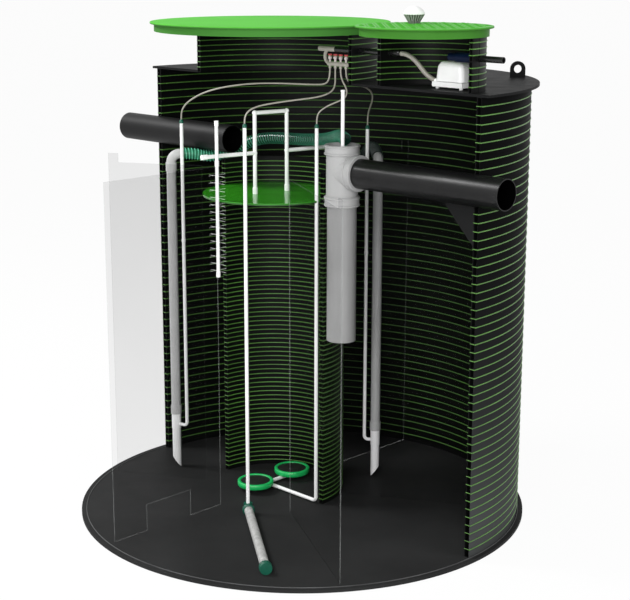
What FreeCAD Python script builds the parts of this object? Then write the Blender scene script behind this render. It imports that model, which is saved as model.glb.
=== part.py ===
"""Packaged sewage treatment plant, shown as a cutaway: a round wound-wall tank with its front half open.

Millimetres. The origin is the centre of the base's underside, Z is up. The cut runs along the XZ plane,
the standing half of the tank lies on the +Y side, and the inlet and outlet pipes run along X.
"""
import FreeCAD, Part
import math
import os

Vector = FreeCAD.Vector
UP = Vector(0, 0, 1)
ALONG_X = Vector(1, 0, 0)
ALONG_Y = Vector(0, 1, 0)

# Clearances
FIT = 0.3               # between a piece and its seat

# Base, outer wall and roof
BASE_RADIUS = 1265.0
BASE_THICKNESS = 16.0
WALL_RADIUS = 1232.0
WALL_THICKNESS = 31.0
WALL_SEGMENTS = 6
TANK_TOP = 2411.0       # underside of the roof plate
PLATE_RADIUS = 1274.0
PLATE_THICKNESS = 13.0

# Hollow wound profile of the walls, open where the walls are cut
WOUND_PITCH = 44.0
CELL_SKIN = 5.0
CELL_WEB = 6.0
CELL_DEPTH = 60.0
NECK_PITCH = 30.5

# Inner column and its cover
COLUMN_X = -247.0
COLUMN_RADIUS = 412.0
COLUMN_WALL = 26.0
COLUMN_TOP = 1925.0
COLUMN_SEGMENTS = 3
COLUMN_PITCH = 27.5
COVER_TOP = 1775.0
COVER_THICKNESS = 12.0

# Access necks and lids
LARGE_NECK_RADIUS = 616.0
LARGE_NECK_WALL = 26.0
LARGE_LID_RADIUS = 660.0
LARGE_NECK_HEIGHT = 305.0
SMALL_NECK_X = 858.0
SMALL_NECK_RADIUS = 311.0
SMALL_NECK_WALL = 22.0
SMALL_LID_RADIUS = 346.0
SMALL_NECK_HEIGHT = 308.0
LID_THICKNESS = 10.0
LID_OVERHANG = 22.0     # top disc beyond the rim
LID_RIM_WALL = 8.0
LID_RIM_DEPTH = 40.0
LID_EDGE_ROUND = 3.0

# Vent cowl on the small lid
VENT_FROM_NECK = (-153.0, 100.0)
VENT_FOOT_RADIUS = 27.0
VENT_TOP_RADIUS = 55.0
VENT_HEIGHT = 52.0
VENT_CAP = 5.0
VENT_DOME = 36.0        # height of the domed top over the ribs
VENT_WALL = 6.0
VENT_SLOTS = 12
VENT_SLOT_WIDTH = 7.0

# Lifting eyes on the roof plate
EYE_CIRCLE = 1190.0
EYE_ANGLES = (50.5, 129.5)
EYE_WIDTH = 84.0
EYE_THICKNESS = 12.0
EYE_HOLE_HEIGHT = 46.0
EYE_HOLE_RADIUS = 22.0

# Drain pipes, tee and gusset
DRAIN_RADIUS = 80.0
DRAIN_WALL = 6.0
INLET_Z = 2046.0
INLET_OUTER_END = -1510.0
INLET_MOUTH = -567.0
OUTLET_Z = 1953.0
OUTLET_END = 1398.0
TEE_X = 303.0
TEE_TOP = 2097.0
TEE_BOTTOM = 1765.0
TEE_BORE = 75.0
TEE_BARREL_RADIUS = 86.0
TEE_SOCKET_RADIUS = 93.0
TEE_SOCKET_DEPTH = 55.0
TEE_BRANCH_REACH = 133.0
DROP_BOTTOM = 1019.0
TEE_AIR_TOP = 2392.0
TEE_AIR_BOTTOM = 1845.0
GUSSET_LENGTH = 195.0
GUSSET_HEIGHT = 203.0
GUSSET_THICKNESS = 10.0

# Air pipes, airlifts and diffusers
AIR_PIPE_RADIUS = 10.0
AIR_FITTING_RADIUS = 12.0
AIR_FITTING_HEIGHT = 22.0
AIR_FITTING_LIP = 2.0   # spigot radius beyond the hose's
AIR_COLLAR_HEIGHT = 16.0
LIFT_RADIUS = 28.0
LIFT_WALL = 4.0
LIFT_SOCKET_RADIUS = 32.0
LIFT_SOCKET_HEIGHT = 51.0
LIFT_ELBOW_RADIUS = 50.0
LIFT_SPOUT = 20.0
LIFT_BEVEL = 50.0       # degrees
LEFT_LIFT = (-911.0, -174.0)
LEFT_LIFT_TOP = 1945.0
LEFT_FOOT_TOP = 355.0
LEFT_SPOUT_ANGLE = 53.13   # degrees, a heading of 3 to 4
LEFT_BEVEL_ANGLE = 45.0
RIGHT_LIFT = (58.0, 561.0)
RIGHT_LIFT_TOP = 1940.0
RIGHT_FOOT_TOP = 305.0
RIGHT_SPOUT_ANGLE = 135.0
RIGHT_BEVEL_ANGLE = 225.0
FEED_ELBOW_RADIUS = 24.0
LEFT_AIR_PIPE = (-830.0, -158.0)
LEFT_AIR_TOP = 2129.0
LEFT_AIR_Z = 291.0
LEFT_AIR_COLLAR_Z = 1430.0
RIGHT_AIR_PIPE = (12.0, 516.0)
RIGHT_AIR_TOP = 2110.0
RIGHT_AIR_Z = 245.0
RIGHT_AIR_COLLAR_Z = 1380.0
TUBE_AIR_PIPE = (-33.0, -397.0)
TUBE_AIR_TOP = 2191.0
DISC_AIR_PIPE = (130.0, -18.5)
DISC_AIR_TOP = 2171.0
FEED_RADIUS = 10.5
FEED_Z = 33.0
FEED_TEE_RADIUS = 13.5
FEED_TEE_REACH = 28.0   # each way from the tee's middle
DISC_X = -280.0
DISC_YS = (-107.0, 193.0)
DISC_RADIUS = 100.0
DISC_SOCKET_RADIUS = 20.0
DISC_SOCKET_TOP = 48.0
DISC_RIM_HEIGHT = 12.0
DISC_BOWL_RADIUS = 92.0
DISC_DOME_RADIUS = 86.0
DISC_DOME_TOP_RADIUS = 50.0
DISC_DOME_HEIGHT = 6.0
TUBE_END = (636.0, -895.0)
TUBE_RADIUS = 28.0
TUBE_CAP_RADIUS = 32.0
TUBE_CAP_LENGTH = 26.0
TUBE_HEAD_RADIUS = 25.0
TUBE_HEAD_TOP = 80.0

# Siphon on the column cover
SIPHON_RADIUS = 11.0
SIPHON_SOCKET_RADIUS = 14.0
SIPHON_SOCKET_HEIGHT = 36.0
SIPHON_ANGLE = 78.0     # degrees from X
SIPHON_HALF_SPAN = 105.0
SIPHON_TOP = 2228.0
SIPHON_ARM_Z = 2005.0
SIPHON_ARM_LENGTH = 340.0

# Pegged pipe at the inner edge of a partition
PEGGED_RADIUS = 9.5
PEGGED_TOP = 2210.0
PEGGED_BOTTOM = 1347.0
PEGGED_CAP_RADIUS = 11.5
PEGGED_CAP_HEIGHT = 28.0
PEGGED_COLLAR_HEIGHT = 30.0
PEG_LEVELS = 14
PEG_FIRST_Z = 1381.0
PEG_PITCH = 40.7
PEG_REACH = 60.0
PEG_RADIUS = 2.5
PEG_STAGGER = 6.0       # between the pegs that cross at one level

# Partitions between the chambers
PANEL_THICKNESS = 6.0
PANEL_TOP = 1910.0
PANEL_ANGLES = (30.0, 90.0, 150.0, 210.0, 270.0, 330.0)
PANEL_TAB_WIDTH = 60.0
PANEL_TAB_TOP = 1963.0
NOTCHED_PANEL = 270.0
NOTCH_FROM = 638.0
NOTCH_TO = 951.0
NOTCH_HEIGHT = 150.0

# Blower, duct, manifold and valves
BLOWER_X = (840.0, 1020.0)
BLOWER_Y = (105.0, 225.0)
BLOWER_HEIGHT = 136.0
BLOWER_ROUND = 28.0
BLOWER_FLANGE = 7.0
BLOWER_FLANGE_HEIGHT = 24.0
BLOWER_GROOVE = 4.0     # between the flange and the cover, as high as it is deep
BLOWER_FOOT_RADIUS = 10.0
BLOWER_FOOT_HEIGHT = 10.0
BLOWER_FOOT_INSET = 14.0
BLOWER_PORT_LENGTH = 30.0
BLOWER_PORT_LIP = 1.0   # port radius beyond the hose's
DUCT_Y = 66.0
DUCT_HEIGHT = 166.0     # above the roof plate
DUCT_RADIUS = 16.0
DUCT_WALL = 4.0
DUCT_LEFT_END = 190.0
DUCT_RIGHT_END = 650.0
STUB_OUTER_END = 1305.0
PLUG_RADIUS = 25.0
PLUG_NOSE_RADIUS = 20.0
PLUG_LENGTH = 145.0
PLUG_NOSE = 45.0
PLUG_WALL_GAP = 22.0    # from the plug's back to the small neck's inner wall
MANIFOLD_LEFT_END = 68.0
MANIFOLD_LOOP_X = 148.0
MANIFOLD_PIPE_RADIUS = 14.0
MANIFOLD_LOOP_RADIUS = 39.0
MANIFOLD_LOOP_TUBE = 9.0
MANIFOLD_BAR_RADIUS = 12.0
MANIFOLD_BAR_END = 292.0
PORT_RADIUS = 8.0
PORT_REACH = 24.0       # below the bar's axis
VALVE_COUNT = 4
VALVE_FIRST_X = 146.0
VALVE_PITCH = 39.5
VALVE_RADIUS = 11.0
VALVE_NECK_RADIUS = 6.0
VALVE_BODY_HEIGHT = 32.0
VALVE_STEM_RADIUS = 3.0
VALVE_STEM_HEIGHT = 7.0
HANDLE_LENGTH = 27.0
HANDLE_WIDTH = 8.0
HANDLE_HEIGHT = 8.0
HANDLE_HUB_RADIUS = 6.0

# Hoses: outside radius, and the points that each route turns at
AIR_HOSE_RADIUS = 4.5
BLOWER_HOSE_RADIUS = 12.0
LIFT_HOSE_RADIUS = 34.0
AIR_HOSE_1 = [(146, 66, 2488), (146, 66, 2452), (136, 64, 2420), (121, 62, 2405), (92, 58, 2397),
              (30, 48, 2394), (-75, 26, 2392), (-200, -6, 2390), (-335, -44, 2383), (-465, -80, 2365),
              (-575, -110, 2342), (-668, -135, 2312), (-744, -151, 2274), (-796, -157, 2238),
              (-821, -158, 2208), (-830, -158, 2178), (-830, -158, 2151)]
AIR_HOSE_2 = [(185.5, 66, 2488), (185.5, 66, 2454), (192, 60, 2418), (199, 44, 2384), (191, 14, 2358),
              (160, -46, 2340), (105, -138, 2330), (46, -232, 2318), (4, -306, 2306), (-18, -352, 2292),
              (-30, -384, 2270), (-33, -397, 2240), (-33, -397, 2213)]
AIR_HOSE_3 = [(225, 66, 2488), (225, 66, 2456), (232, 76, 2418), (242, 91, 2390), (245, 97, 2360),
              (237, 88, 2332), (212, 63, 2314), (176, 29, 2294), (150, 3, 2272), (136, -12, 2252),
              (130, -18.5, 2222), (130, -18.5, 2193)]
AIR_HOSE_4 = [(264.5, 66, 2488), (264.5, 66, 2460), (260, 80, 2434), (246, 112, 2414), (228, 160, 2400),
              (206, 224, 2388), (188, 300, 2374), (172, 362, 2350), (146, 410, 2316), (108, 446, 2276),
              (64, 478, 2238), (34, 500, 2212), (19, 511, 2190), (12, 516, 2160), (12, 516, 2132)]
BLOWER_HOSE = [(650, 66, 2590), (676, 66, 2590), (701, 68, 2583), (724, 73, 2570), (744, 82, 2550),
               (763, 94, 2523), (780, 107, 2495), (802, 118, 2474), (828, 126, 2461)]
RETURN_HOSE = [(-869, -118, 1945), (-833, -70, 1945), (-790, -14, 1928), (-744, 39, 1930), (-692, 92, 1954),
               (-632, 138, 1991), (-560, 174, 2026), (-475, 200, 2044), (-375, 216, 2050), (-265, 220, 2053),
               (-150, 210, 2062), (-35, 186, 2076), (72, 146, 2096), (165, 100, 2120), (245, 54, 2135),
               (318, 10, 2122)]
SPILL_HOSE = [(8.5, 610.5, 1940), (-44, 663, 1940), (-108, 727, 1945), (-176, 793, 1949),
              (-247, 856, 1950), (-316, 906, 1940), (-378, 944, 1913), (-428, 972, 1871)]

# Sizes that follow from the ones above
WALL_INNER = WALL_RADIUS - WALL_THICKNESS
PLATE_TOP = TANK_TOP + PLATE_THICKNESS
COLUMN_INNER = COLUMN_RADIUS - COLUMN_WALL
LARGE_NECK_TOP = TANK_TOP + LARGE_NECK_HEIGHT
SMALL_NECK_TOP = PLATE_TOP + SMALL_NECK_HEIGHT
LARGE_LID_TOP = LARGE_NECK_TOP + LID_THICKNESS
SMALL_LID_TOP = SMALL_NECK_TOP + LID_THICKNESS
DUCT_Z = PLATE_TOP + DUCT_HEIGHT
MANIFOLD_BAR_Z = DUCT_Z - 2 * MANIFOLD_LOOP_RADIUS
VALVE_TOP = MANIFOLD_BAR_Z + MANIFOLD_BAR_RADIUS + VALVE_BODY_HEIGHT
MARGIN = 5.0            # how far a cutting tool reaches past the face it cuts


def rod(radius, start, end):
    """Solid round bar between two points."""
    start = Vector(*start)
    end = Vector(*end)
    return Part.makeCylinder(radius, (end - start).Length, start, end - start)


def upright(radius, x, y, low, high):
    """Solid round bar standing at x, y."""
    return Part.makeCylinder(radius, high - low, Vector(x, y, low), UP)


def block(x_range, y_range, z_range):
    """Box given by its three ranges."""
    sizes = [high - low for low, high in (x_range, y_range, z_range)]
    return Part.makeBox(*sizes, Vector(x_range[0], y_range[0], z_range[0]))


def fused(shapes):
    """One solid from shapes that meet."""
    return shapes[0].multiFuse(shapes[1:]).removeSplitter()


def heading(angle):
    """Level unit vector at an angle in degrees from X."""
    return Vector(math.cos(math.radians(angle)), math.sin(math.radians(angle)), 0)


def arc_wall(centre_x, radius, wall, low, high, start, sweep):
    """Part of a round wall, between two angles in degrees."""
    base = Vector(centre_x, 0, low)
    piece = Part.makeCylinder(radius, high - low, base, UP, sweep)
    piece.rotate(base, UP, start)
    core = Part.makeCylinder(radius - wall, high - low + 2 * MARGIN, base - UP * MARGIN, UP)
    return piece.cut(core)


def cut_cells(centre_x, radius, wall, low, high, side, pitch):
    """Hollow cells of the wound profile where the wall is cut; side is 1 at the right cut, -1 at the left."""
    count = round((high - low) / pitch)
    rows = (high - low) / count
    near = centre_x + side * (radius - wall + CELL_SKIN)
    far = centre_x + side * (radius - CELL_SKIN)
    x_range = (min(near, far), max(near, far))
    depth = (-MARGIN, CELL_DEPTH)
    cells = []
    for row in range(count):
        z = low + row * rows
        cells.append(block(x_range, depth, (z + CELL_WEB / 2, z + rows - CELL_WEB / 2)))
    return cells


def drain_sleeve(z, start, end):
    """Tool for the hole that a drain pipe passes through."""
    return rod(DRAIN_RADIUS + FIT, (start, 0, z), (end, 0, z))


def duct_sleeve(start, end):
    """Tool for the hole that the cable duct passes through."""
    return rod(DUCT_RADIUS + FIT, (start, DUCT_Y, DUCT_Z), (end, DUCT_Y, DUCT_Z))


def pipe(radius, wall, start, end):
    """Open round pipe between two points."""
    return rod(radius, start, end).cut(rod(radius - wall, start, end))


def bend(radius, corner_radius, corner, side_a, side_b):
    """Quarter elbow: leaves towards side_a and side_b, square to each other, round a corner point."""
    centre = corner + side_a * corner_radius + side_b * corner_radius
    ring = Part.Circle(corner + side_a * corner_radius, side_a, radius)
    face = Part.Face(Part.Wire(ring.toShape()))
    axis = side_b.cross(side_a)
    return face.revolve(centre, axis, 90)


def hose(name, radius, points):
    """Round hose along straight runs that are joined by tangent arcs, each as large as its runs allow."""
    points = [Vector(*point) for point in points]
    edges = []
    radii = []
    start = points[0]
    for before, here, after in zip(points, points[1:], points[2:]):
        back = before - here
        ahead = after - here
        reach = 0.45 * min(back.Length, ahead.Length)
        back.normalize()
        ahead.normalize()
        half_turn = (math.pi - back.getAngle(ahead)) / 2
        bend_radius = reach / math.tan(half_turn)
        radii.append(bend_radius)
        middle = back + ahead
        middle.normalize()
        sagitta = bend_radius / math.cos(half_turn) - bend_radius
        edges.append(Part.LineSegment(start, here + back * reach).toShape())
        edges.append(Part.Arc(here + back * reach, here + middle * sagitta, here + ahead * reach).toShape())
        start = here + ahead * reach
    edges.append(Part.LineSegment(start, points[-1]).toShape())
    path = Part.Wire(edges)
    section = Part.Wire(Part.Circle(points[0], points[1] - points[0], radius).toShape())
    tube = path.makePipeShell([section], True, False)
    share = tube.Volume / (math.pi * radius ** 2 * path.Length)
    print(name, "length", round(path.Length), "tightest", round(min(radii)),
          "in diameters", round(min(radii) / (2 * radius), 1), "volume share", round(share, 4))
    return tube


def make_base_plate():
    """Round floor that the tank stands on."""
    return Part.makeCylinder(BASE_RADIUS, BASE_THICKNESS)


def make_tank_wall(index):
    """One segment of the outer wall, from the right cut round to the left."""
    sweep = 180.0 / WALL_SEGMENTS
    wall = arc_wall(0, WALL_RADIUS, WALL_THICKNESS, BASE_THICKNESS, TANK_TOP, index * sweep, sweep)
    tools = []
    if index == 0:
        tools = cut_cells(0, WALL_RADIUS, WALL_THICKNESS, BASE_THICKNESS, TANK_TOP, 1, WOUND_PITCH)
        tools.append(drain_sleeve(OUTLET_Z, TEE_X, OUTLET_END))
    if index == WALL_SEGMENTS - 1:
        tools = cut_cells(0, WALL_RADIUS, WALL_THICKNESS, BASE_THICKNESS, TANK_TOP, -1, WOUND_PITCH)
        tools.append(drain_sleeve(INLET_Z, INLET_OUTER_END, INLET_MOUTH))
    return wall.cut(tools) if tools else wall


def make_top_plate():
    """Half-round roof plate with the hole for the large neck."""
    plate = Part.makeCylinder(PLATE_RADIUS, PLATE_THICKNESS, Vector(0, 0, TANK_TOP), UP, 180)
    return plate.cut(upright(LARGE_NECK_RADIUS + FIT, COLUMN_X, 0, TANK_TOP - MARGIN, PLATE_TOP + MARGIN))


def make_neck(centre_x, radius, wall, low, high):
    """Half-round neck under a lid, with its cut cells and the holes for the duct."""
    neck = arc_wall(centre_x, radius, wall, low, high, 0, 180)
    tools = cut_cells(centre_x, radius, wall, low, high, 1, NECK_PITCH)
    tools += cut_cells(centre_x, radius, wall, low, high, -1, NECK_PITCH)
    tools.append(duct_sleeve(DUCT_LEFT_END, STUB_OUTER_END))
    return neck.cut(tools)


def make_lid(centre_x, radius, top):
    """Round lid: a flat top with a soft edge that stands out over a hanging rim."""
    underside = top - LID_THICKNESS
    disc = upright(radius, centre_x, 0, underside, top)
    disc = disc.makeFillet(LID_EDGE_ROUND, [edge for edge in disc.Edges if edge.Closed])
    rim_radius = radius - LID_OVERHANG
    rim = upright(rim_radius, centre_x, 0, underside - LID_RIM_DEPTH, underside)
    rim = rim.cut(upright(rim_radius - LID_RIM_WALL, centre_x, 0, underside - LID_RIM_DEPTH, underside))
    return fused([disc, rim])


def make_vent_cowl():
    """Flared vent with slots round its side and a domed top."""
    x = SMALL_NECK_X + VENT_FROM_NECK[0]
    y = VENT_FROM_NECK[1]
    foot = Vector(x, y, SMALL_LID_TOP)
    cone_height = VENT_HEIGHT - VENT_CAP
    outer = Part.makeCone(VENT_FOOT_RADIUS, VENT_TOP_RADIUS, cone_height, foot)
    inner = Part.makeCone(VENT_FOOT_RADIUS - VENT_WALL, VENT_TOP_RADIUS - VENT_WALL, cone_height, foot)
    floor = upright(VENT_FOOT_RADIUS - VENT_WALL / 2, x, y, SMALL_LID_TOP, SMALL_LID_TOP + VENT_CAP)
    cap = upright(VENT_TOP_RADIUS, x, y, SMALL_LID_TOP + cone_height, SMALL_LID_TOP + VENT_HEIGHT)
    slots = []
    for index in range(VENT_SLOTS):
        slot = block((x, x + 2 * VENT_TOP_RADIUS), (y - VENT_SLOT_WIDTH / 2, y + VENT_SLOT_WIDTH / 2),
                     (foot.z + VENT_CAP + VENT_WALL, foot.z + cone_height - VENT_WALL))
        slot.rotate(foot, UP, index * 360.0 / VENT_SLOTS)
        slots.append(slot)
    cage = outer.cut(inner).cut(slots)
    rim_z = foot.z + VENT_HEIGHT
    ball = (VENT_TOP_RADIUS ** 2 + VENT_DOME ** 2) / (2 * VENT_DOME)
    dome = Part.makeSphere(ball, Vector(x, y, rim_z + VENT_DOME - ball))
    dome = dome.common(upright(VENT_TOP_RADIUS + MARGIN, x, y, rim_z, rim_z + VENT_DOME + MARGIN))
    return fused([cage, floor, cap, dome])


def make_lifting_eyes():
    """Upright plates with a round top and a hole, set along the roof plate's radius."""
    eyes = []
    for angle in EYE_ANGLES:
        half = EYE_WIDTH / 2
        middle = PLATE_TOP + EYE_HOLE_HEIGHT
        back = EYE_THICKNESS / 2
        shank = block((EYE_CIRCLE - half, EYE_CIRCLE + half), (-back, back), (PLATE_TOP, middle))
        head = rod(half, (EYE_CIRCLE, -back, middle), (EYE_CIRCLE, back, middle))
        hole = rod(EYE_HOLE_RADIUS, (EYE_CIRCLE, -MARGIN - back, middle), (EYE_CIRCLE, MARGIN + back, middle))
        eye = fused([shank, head]).cut(hole)
        eye.rotate(Vector(), UP, angle)
        eyes.append(eye)
    return Part.makeCompound(eyes)


def make_outlet_tee():
    """Tee with a socket on each end, open at the top."""
    axis = Vector(TEE_X, 0, 0)
    face_x = TEE_X + TEE_BRANCH_REACH
    seat = DRAIN_RADIUS + FIT
    body = fused([
        upright(TEE_BARREL_RADIUS, axis.x, 0, TEE_BOTTOM, TEE_TOP),
        upright(TEE_SOCKET_RADIUS, axis.x, 0, TEE_BOTTOM, TEE_BOTTOM + TEE_SOCKET_DEPTH),
        upright(TEE_SOCKET_RADIUS, axis.x, 0, TEE_TOP - TEE_SOCKET_DEPTH, TEE_TOP),
        rod(TEE_BARREL_RADIUS, (TEE_X, 0, OUTLET_Z), (face_x, 0, OUTLET_Z)),
        rod(TEE_SOCKET_RADIUS, (face_x - TEE_SOCKET_DEPTH, 0, OUTLET_Z), (face_x, 0, OUTLET_Z)),
    ])
    return body.cut([
        upright(TEE_BORE, axis.x, 0, TEE_BOTTOM - MARGIN, TEE_TOP + MARGIN),
        rod(TEE_BORE, (TEE_X, 0, OUTLET_Z), (face_x + MARGIN, 0, OUTLET_Z)),
        upright(seat, axis.x, 0, TEE_BOTTOM - MARGIN, TEE_BOTTOM + TEE_SOCKET_DEPTH),
        upright(seat, axis.x, 0, TEE_TOP - TEE_SOCKET_DEPTH, TEE_TOP + MARGIN),
        rod(seat, (face_x - TEE_SOCKET_DEPTH, 0, OUTLET_Z), (face_x + MARGIN, 0, OUTLET_Z)),
    ])


def make_tee_air_pipe():
    """Capped white pipe that stands against the inside of the tee."""
    offset = TEE_BORE - AIR_PIPE_RADIUS - FIT
    place = Vector(TEE_X, 0, 0) + heading(-45) * offset
    shaft = upright(AIR_PIPE_RADIUS, place.x, place.y, TEE_AIR_BOTTOM, TEE_AIR_TOP)
    cap = upright(AIR_FITTING_RADIUS, place.x, place.y, TEE_AIR_TOP - AIR_FITTING_HEIGHT / 2, TEE_AIR_TOP)
    return fused([shaft, cap])


def make_outlet_gusset():
    """Triangular plate that carries the outlet pipe from the wall."""
    top = OUTLET_Z - DRAIN_RADIUS - FIT
    back = math.sqrt((WALL_INNER - FIT) ** 2 - GUSSET_THICKNESS ** 2)
    tip = Vector(back - GUSSET_LENGTH, 0, top)
    corners = [tip, Vector(back, 0, top), Vector(back, 0, top - GUSSET_HEIGHT)]
    face = Part.Face(Part.makePolygon(corners + corners[:1]))
    return face.extrude(ALONG_Y * GUSSET_THICKNESS)


def make_column_wall(index):
    """One segment of the inner column's wall."""
    sweep = 180.0 / COLUMN_SEGMENTS
    size = (COLUMN_X, COLUMN_RADIUS, COLUMN_WALL, BASE_THICKNESS, COLUMN_TOP)
    wall = arc_wall(*size, index * sweep, sweep)
    tools = []
    if index == 0:
        tools = cut_cells(*size, 1, COLUMN_PITCH)
    if index == COLUMN_SEGMENTS - 1:
        tools = cut_cells(*size, -1, COLUMN_PITCH)
    return wall.cut(tools) if tools else wall


def make_column_cover():
    """Round cover set in the column, with a notch for an air pipe; whole where the wall is cut away."""
    low = COVER_TOP - COVER_THICKNESS
    cover = upright(COLUMN_INNER - FIT, COLUMN_X, 0, low, COVER_TOP)
    return cover.cut(upright(AIR_PIPE_RADIUS + FIT, *DISC_AIR_PIPE, low - MARGIN, COVER_TOP + MARGIN))


def make_lift_riser(place, foot_top, spout_z, spout_angle):
    """Grey airlift pipe with its lower socket and the elbow at its top."""
    corner = Vector(0, 0, spout_z)
    spout_start = corner + ALONG_X * LIFT_ELBOW_RADIUS
    elbow_low = spout_z - LIFT_ELBOW_RADIUS
    riser = fused([
        upright(LIFT_SOCKET_RADIUS, 0, 0, elbow_low - LIFT_SOCKET_HEIGHT, elbow_low),
        upright(LIFT_SOCKET_RADIUS, 0, 0, foot_top, foot_top + LIFT_SOCKET_HEIGHT),
        upright(LIFT_RADIUS, 0, 0, foot_top, elbow_low),
        bend(LIFT_RADIUS, LIFT_ELBOW_RADIUS, corner, UP * -1, ALONG_X),
        rod(LIFT_RADIUS, spout_start, spout_start + ALONG_X * LIFT_SPOUT),
    ])
    riser.rotate(Vector(), UP, spout_angle)
    riser.translate(Vector(*place, 0))
    return riser


def make_lift_foot(place, foot_top, bevel_angle):
    """White open pipe that stands on the base with a slanted cut; the cut rises towards bevel_angle."""
    x, y = place
    foot = pipe(LIFT_RADIUS, LIFT_WALL, (x, y, BASE_THICKNESS), (x, y, foot_top))
    rise = heading(bevel_angle)
    tip = Vector(x, y, BASE_THICKNESS) - rise * LIFT_RADIUS
    size = 6 * LIFT_RADIUS
    wedge = Part.makeBox(size, size, size, Vector(0, -size / 2, -size))
    wedge.rotate(Vector(), ALONG_Y, -LIFT_BEVEL)
    wedge.rotate(Vector(), UP, bevel_angle)
    wedge.translate(tip)
    return foot.cut(wedge)


def make_lift_air_pipe(place, top, inlet_z, lift):
    """Upright air pipe with an elbow into the side of an airlift's foot."""
    aside = Vector(lift[0] - place[0], lift[1] - place[1], 0)
    corner = Vector(0, 0, inlet_z)
    feed_end = corner + ALONG_X * (aside.Length - LIFT_RADIUS - FIT)
    feed = fused([
        upright(AIR_PIPE_RADIUS, 0, 0, inlet_z + FEED_ELBOW_RADIUS, top),
        bend(AIR_PIPE_RADIUS, FEED_ELBOW_RADIUS, corner, UP, ALONG_X),
        rod(AIR_PIPE_RADIUS, corner + ALONG_X * FEED_ELBOW_RADIUS, feed_end),
    ])
    feed.rotate(Vector(), UP, math.degrees(math.atan2(aside.y, aside.x)))
    feed.translate(Vector(*place, 0))
    return feed


def make_air_pipes():
    """The four white air pipes: two to the airlifts, one to the tube diffuser, one to the disc diffusers."""
    lifts = []
    for place, top, inlet_z, lift, collar_z in (
            (LEFT_AIR_PIPE, LEFT_AIR_TOP, LEFT_AIR_Z, LEFT_LIFT, LEFT_AIR_COLLAR_Z),
            (RIGHT_AIR_PIPE, RIGHT_AIR_TOP, RIGHT_AIR_Z, RIGHT_LIFT, RIGHT_AIR_COLLAR_Z)):
        collar = upright(AIR_FITTING_RADIUS, *place, collar_z, collar_z + AIR_COLLAR_HEIGHT)
        lifts.append(fused([make_lift_air_pipe(place, top, inlet_z, lift), collar]))
    return Part.makeCompound(lifts + [
        upright(AIR_PIPE_RADIUS, *TUBE_AIR_PIPE, TUBE_HEAD_TOP, TUBE_AIR_TOP),
        upright(AIR_PIPE_RADIUS, *DISC_AIR_PIPE, FEED_Z + FEED_ELBOW_RADIUS, DISC_AIR_TOP),
    ])


def make_air_fittings():
    """Green bushes that join the air hoses to the tops of the air pipes."""
    tops = [(LEFT_AIR_PIPE, LEFT_AIR_TOP), (RIGHT_AIR_PIPE, RIGHT_AIR_TOP),
            (TUBE_AIR_PIPE, TUBE_AIR_TOP), (DISC_AIR_PIPE, DISC_AIR_TOP)]
    bushes = []
    for (x, y), top in tops:
        nut = upright(AIR_FITTING_RADIUS, x, y, top, top + AIR_FITTING_HEIGHT / 2)
        neck = Part.makeCone(AIR_FITTING_RADIUS, AIR_HOSE_RADIUS + AIR_FITTING_LIP, AIR_FITTING_HEIGHT / 2,
                             Vector(x, y, top + AIR_FITTING_HEIGHT / 2))
        bushes.append(fused([nut, neck]))
    return Part.makeCompound(bushes)


def make_diffuser_feed():
    """White pipe along the column's floor that feeds the disc diffusers."""
    x, y = DISC_AIR_PIPE
    corner = Vector(x, y, FEED_Z)
    pieces = [
        bend(FEED_RADIUS, FEED_ELBOW_RADIUS, corner, UP, ALONG_X * -1),
        rod(FEED_RADIUS, (x - FEED_ELBOW_RADIUS, y, FEED_Z), (DISC_X, y, FEED_Z)),
        rod(FEED_RADIUS, (DISC_X, DISC_YS[0], FEED_Z), (DISC_X, DISC_YS[1], FEED_Z)),
        rod(FEED_TEE_RADIUS, (DISC_X, y - FEED_TEE_REACH, FEED_Z), (DISC_X, y + FEED_TEE_REACH, FEED_Z)),
        rod(FEED_TEE_RADIUS, (DISC_X, y, FEED_Z), (DISC_X + FEED_TEE_REACH, y, FEED_Z)),
    ]
    for disc_y in DISC_YS:
        pieces.append(upright(DISC_SOCKET_RADIUS, DISC_X, disc_y, BASE_THICKNESS, DISC_SOCKET_TOP))
    return fused(pieces)


def make_disc_diffusers():
    """Two round diffusers: a shallow bowl with a thick ring and a low domed membrane."""
    discs = []
    for y in DISC_YS:
        bowl_top = DISC_SOCKET_TOP + DISC_RIM_HEIGHT
        rim_top = bowl_top + DISC_RIM_HEIGHT
        bowl = Part.makeCone(DISC_SOCKET_RADIUS, DISC_BOWL_RADIUS, DISC_RIM_HEIGHT,
                             Vector(DISC_X, y, DISC_SOCKET_TOP))
        rim = upright(DISC_RADIUS, DISC_X, y, bowl_top, rim_top)
        dome = Part.makeCone(DISC_DOME_RADIUS, DISC_DOME_TOP_RADIUS, DISC_DOME_HEIGHT,
                             Vector(DISC_X, y, rim_top))
        discs.append(fused([bowl, rim, dome]))
    return Part.makeCompound(discs)


def tube_length():
    """Length from the tube diffuser's head to the end of its cap."""
    return math.dist(TUBE_AIR_PIPE, TUBE_END)


def tube_point(distance):
    """Point on the tube diffuser's axis, at a distance from its head."""
    share = distance / tube_length()
    x = TUBE_AIR_PIPE[0] + share * (TUBE_END[0] - TUBE_AIR_PIPE[0])
    y = TUBE_AIR_PIPE[1] + share * (TUBE_END[1] - TUBE_AIR_PIPE[1])
    return Vector(x, y, BASE_THICKNESS + TUBE_CAP_RADIUS)


def make_tube_diffuser():
    """Grey membrane tube lying along the floor of the front chamber."""
    return rod(TUBE_RADIUS, tube_point(TUBE_HEAD_RADIUS), tube_point(tube_length() - TUBE_CAP_LENGTH))


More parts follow.
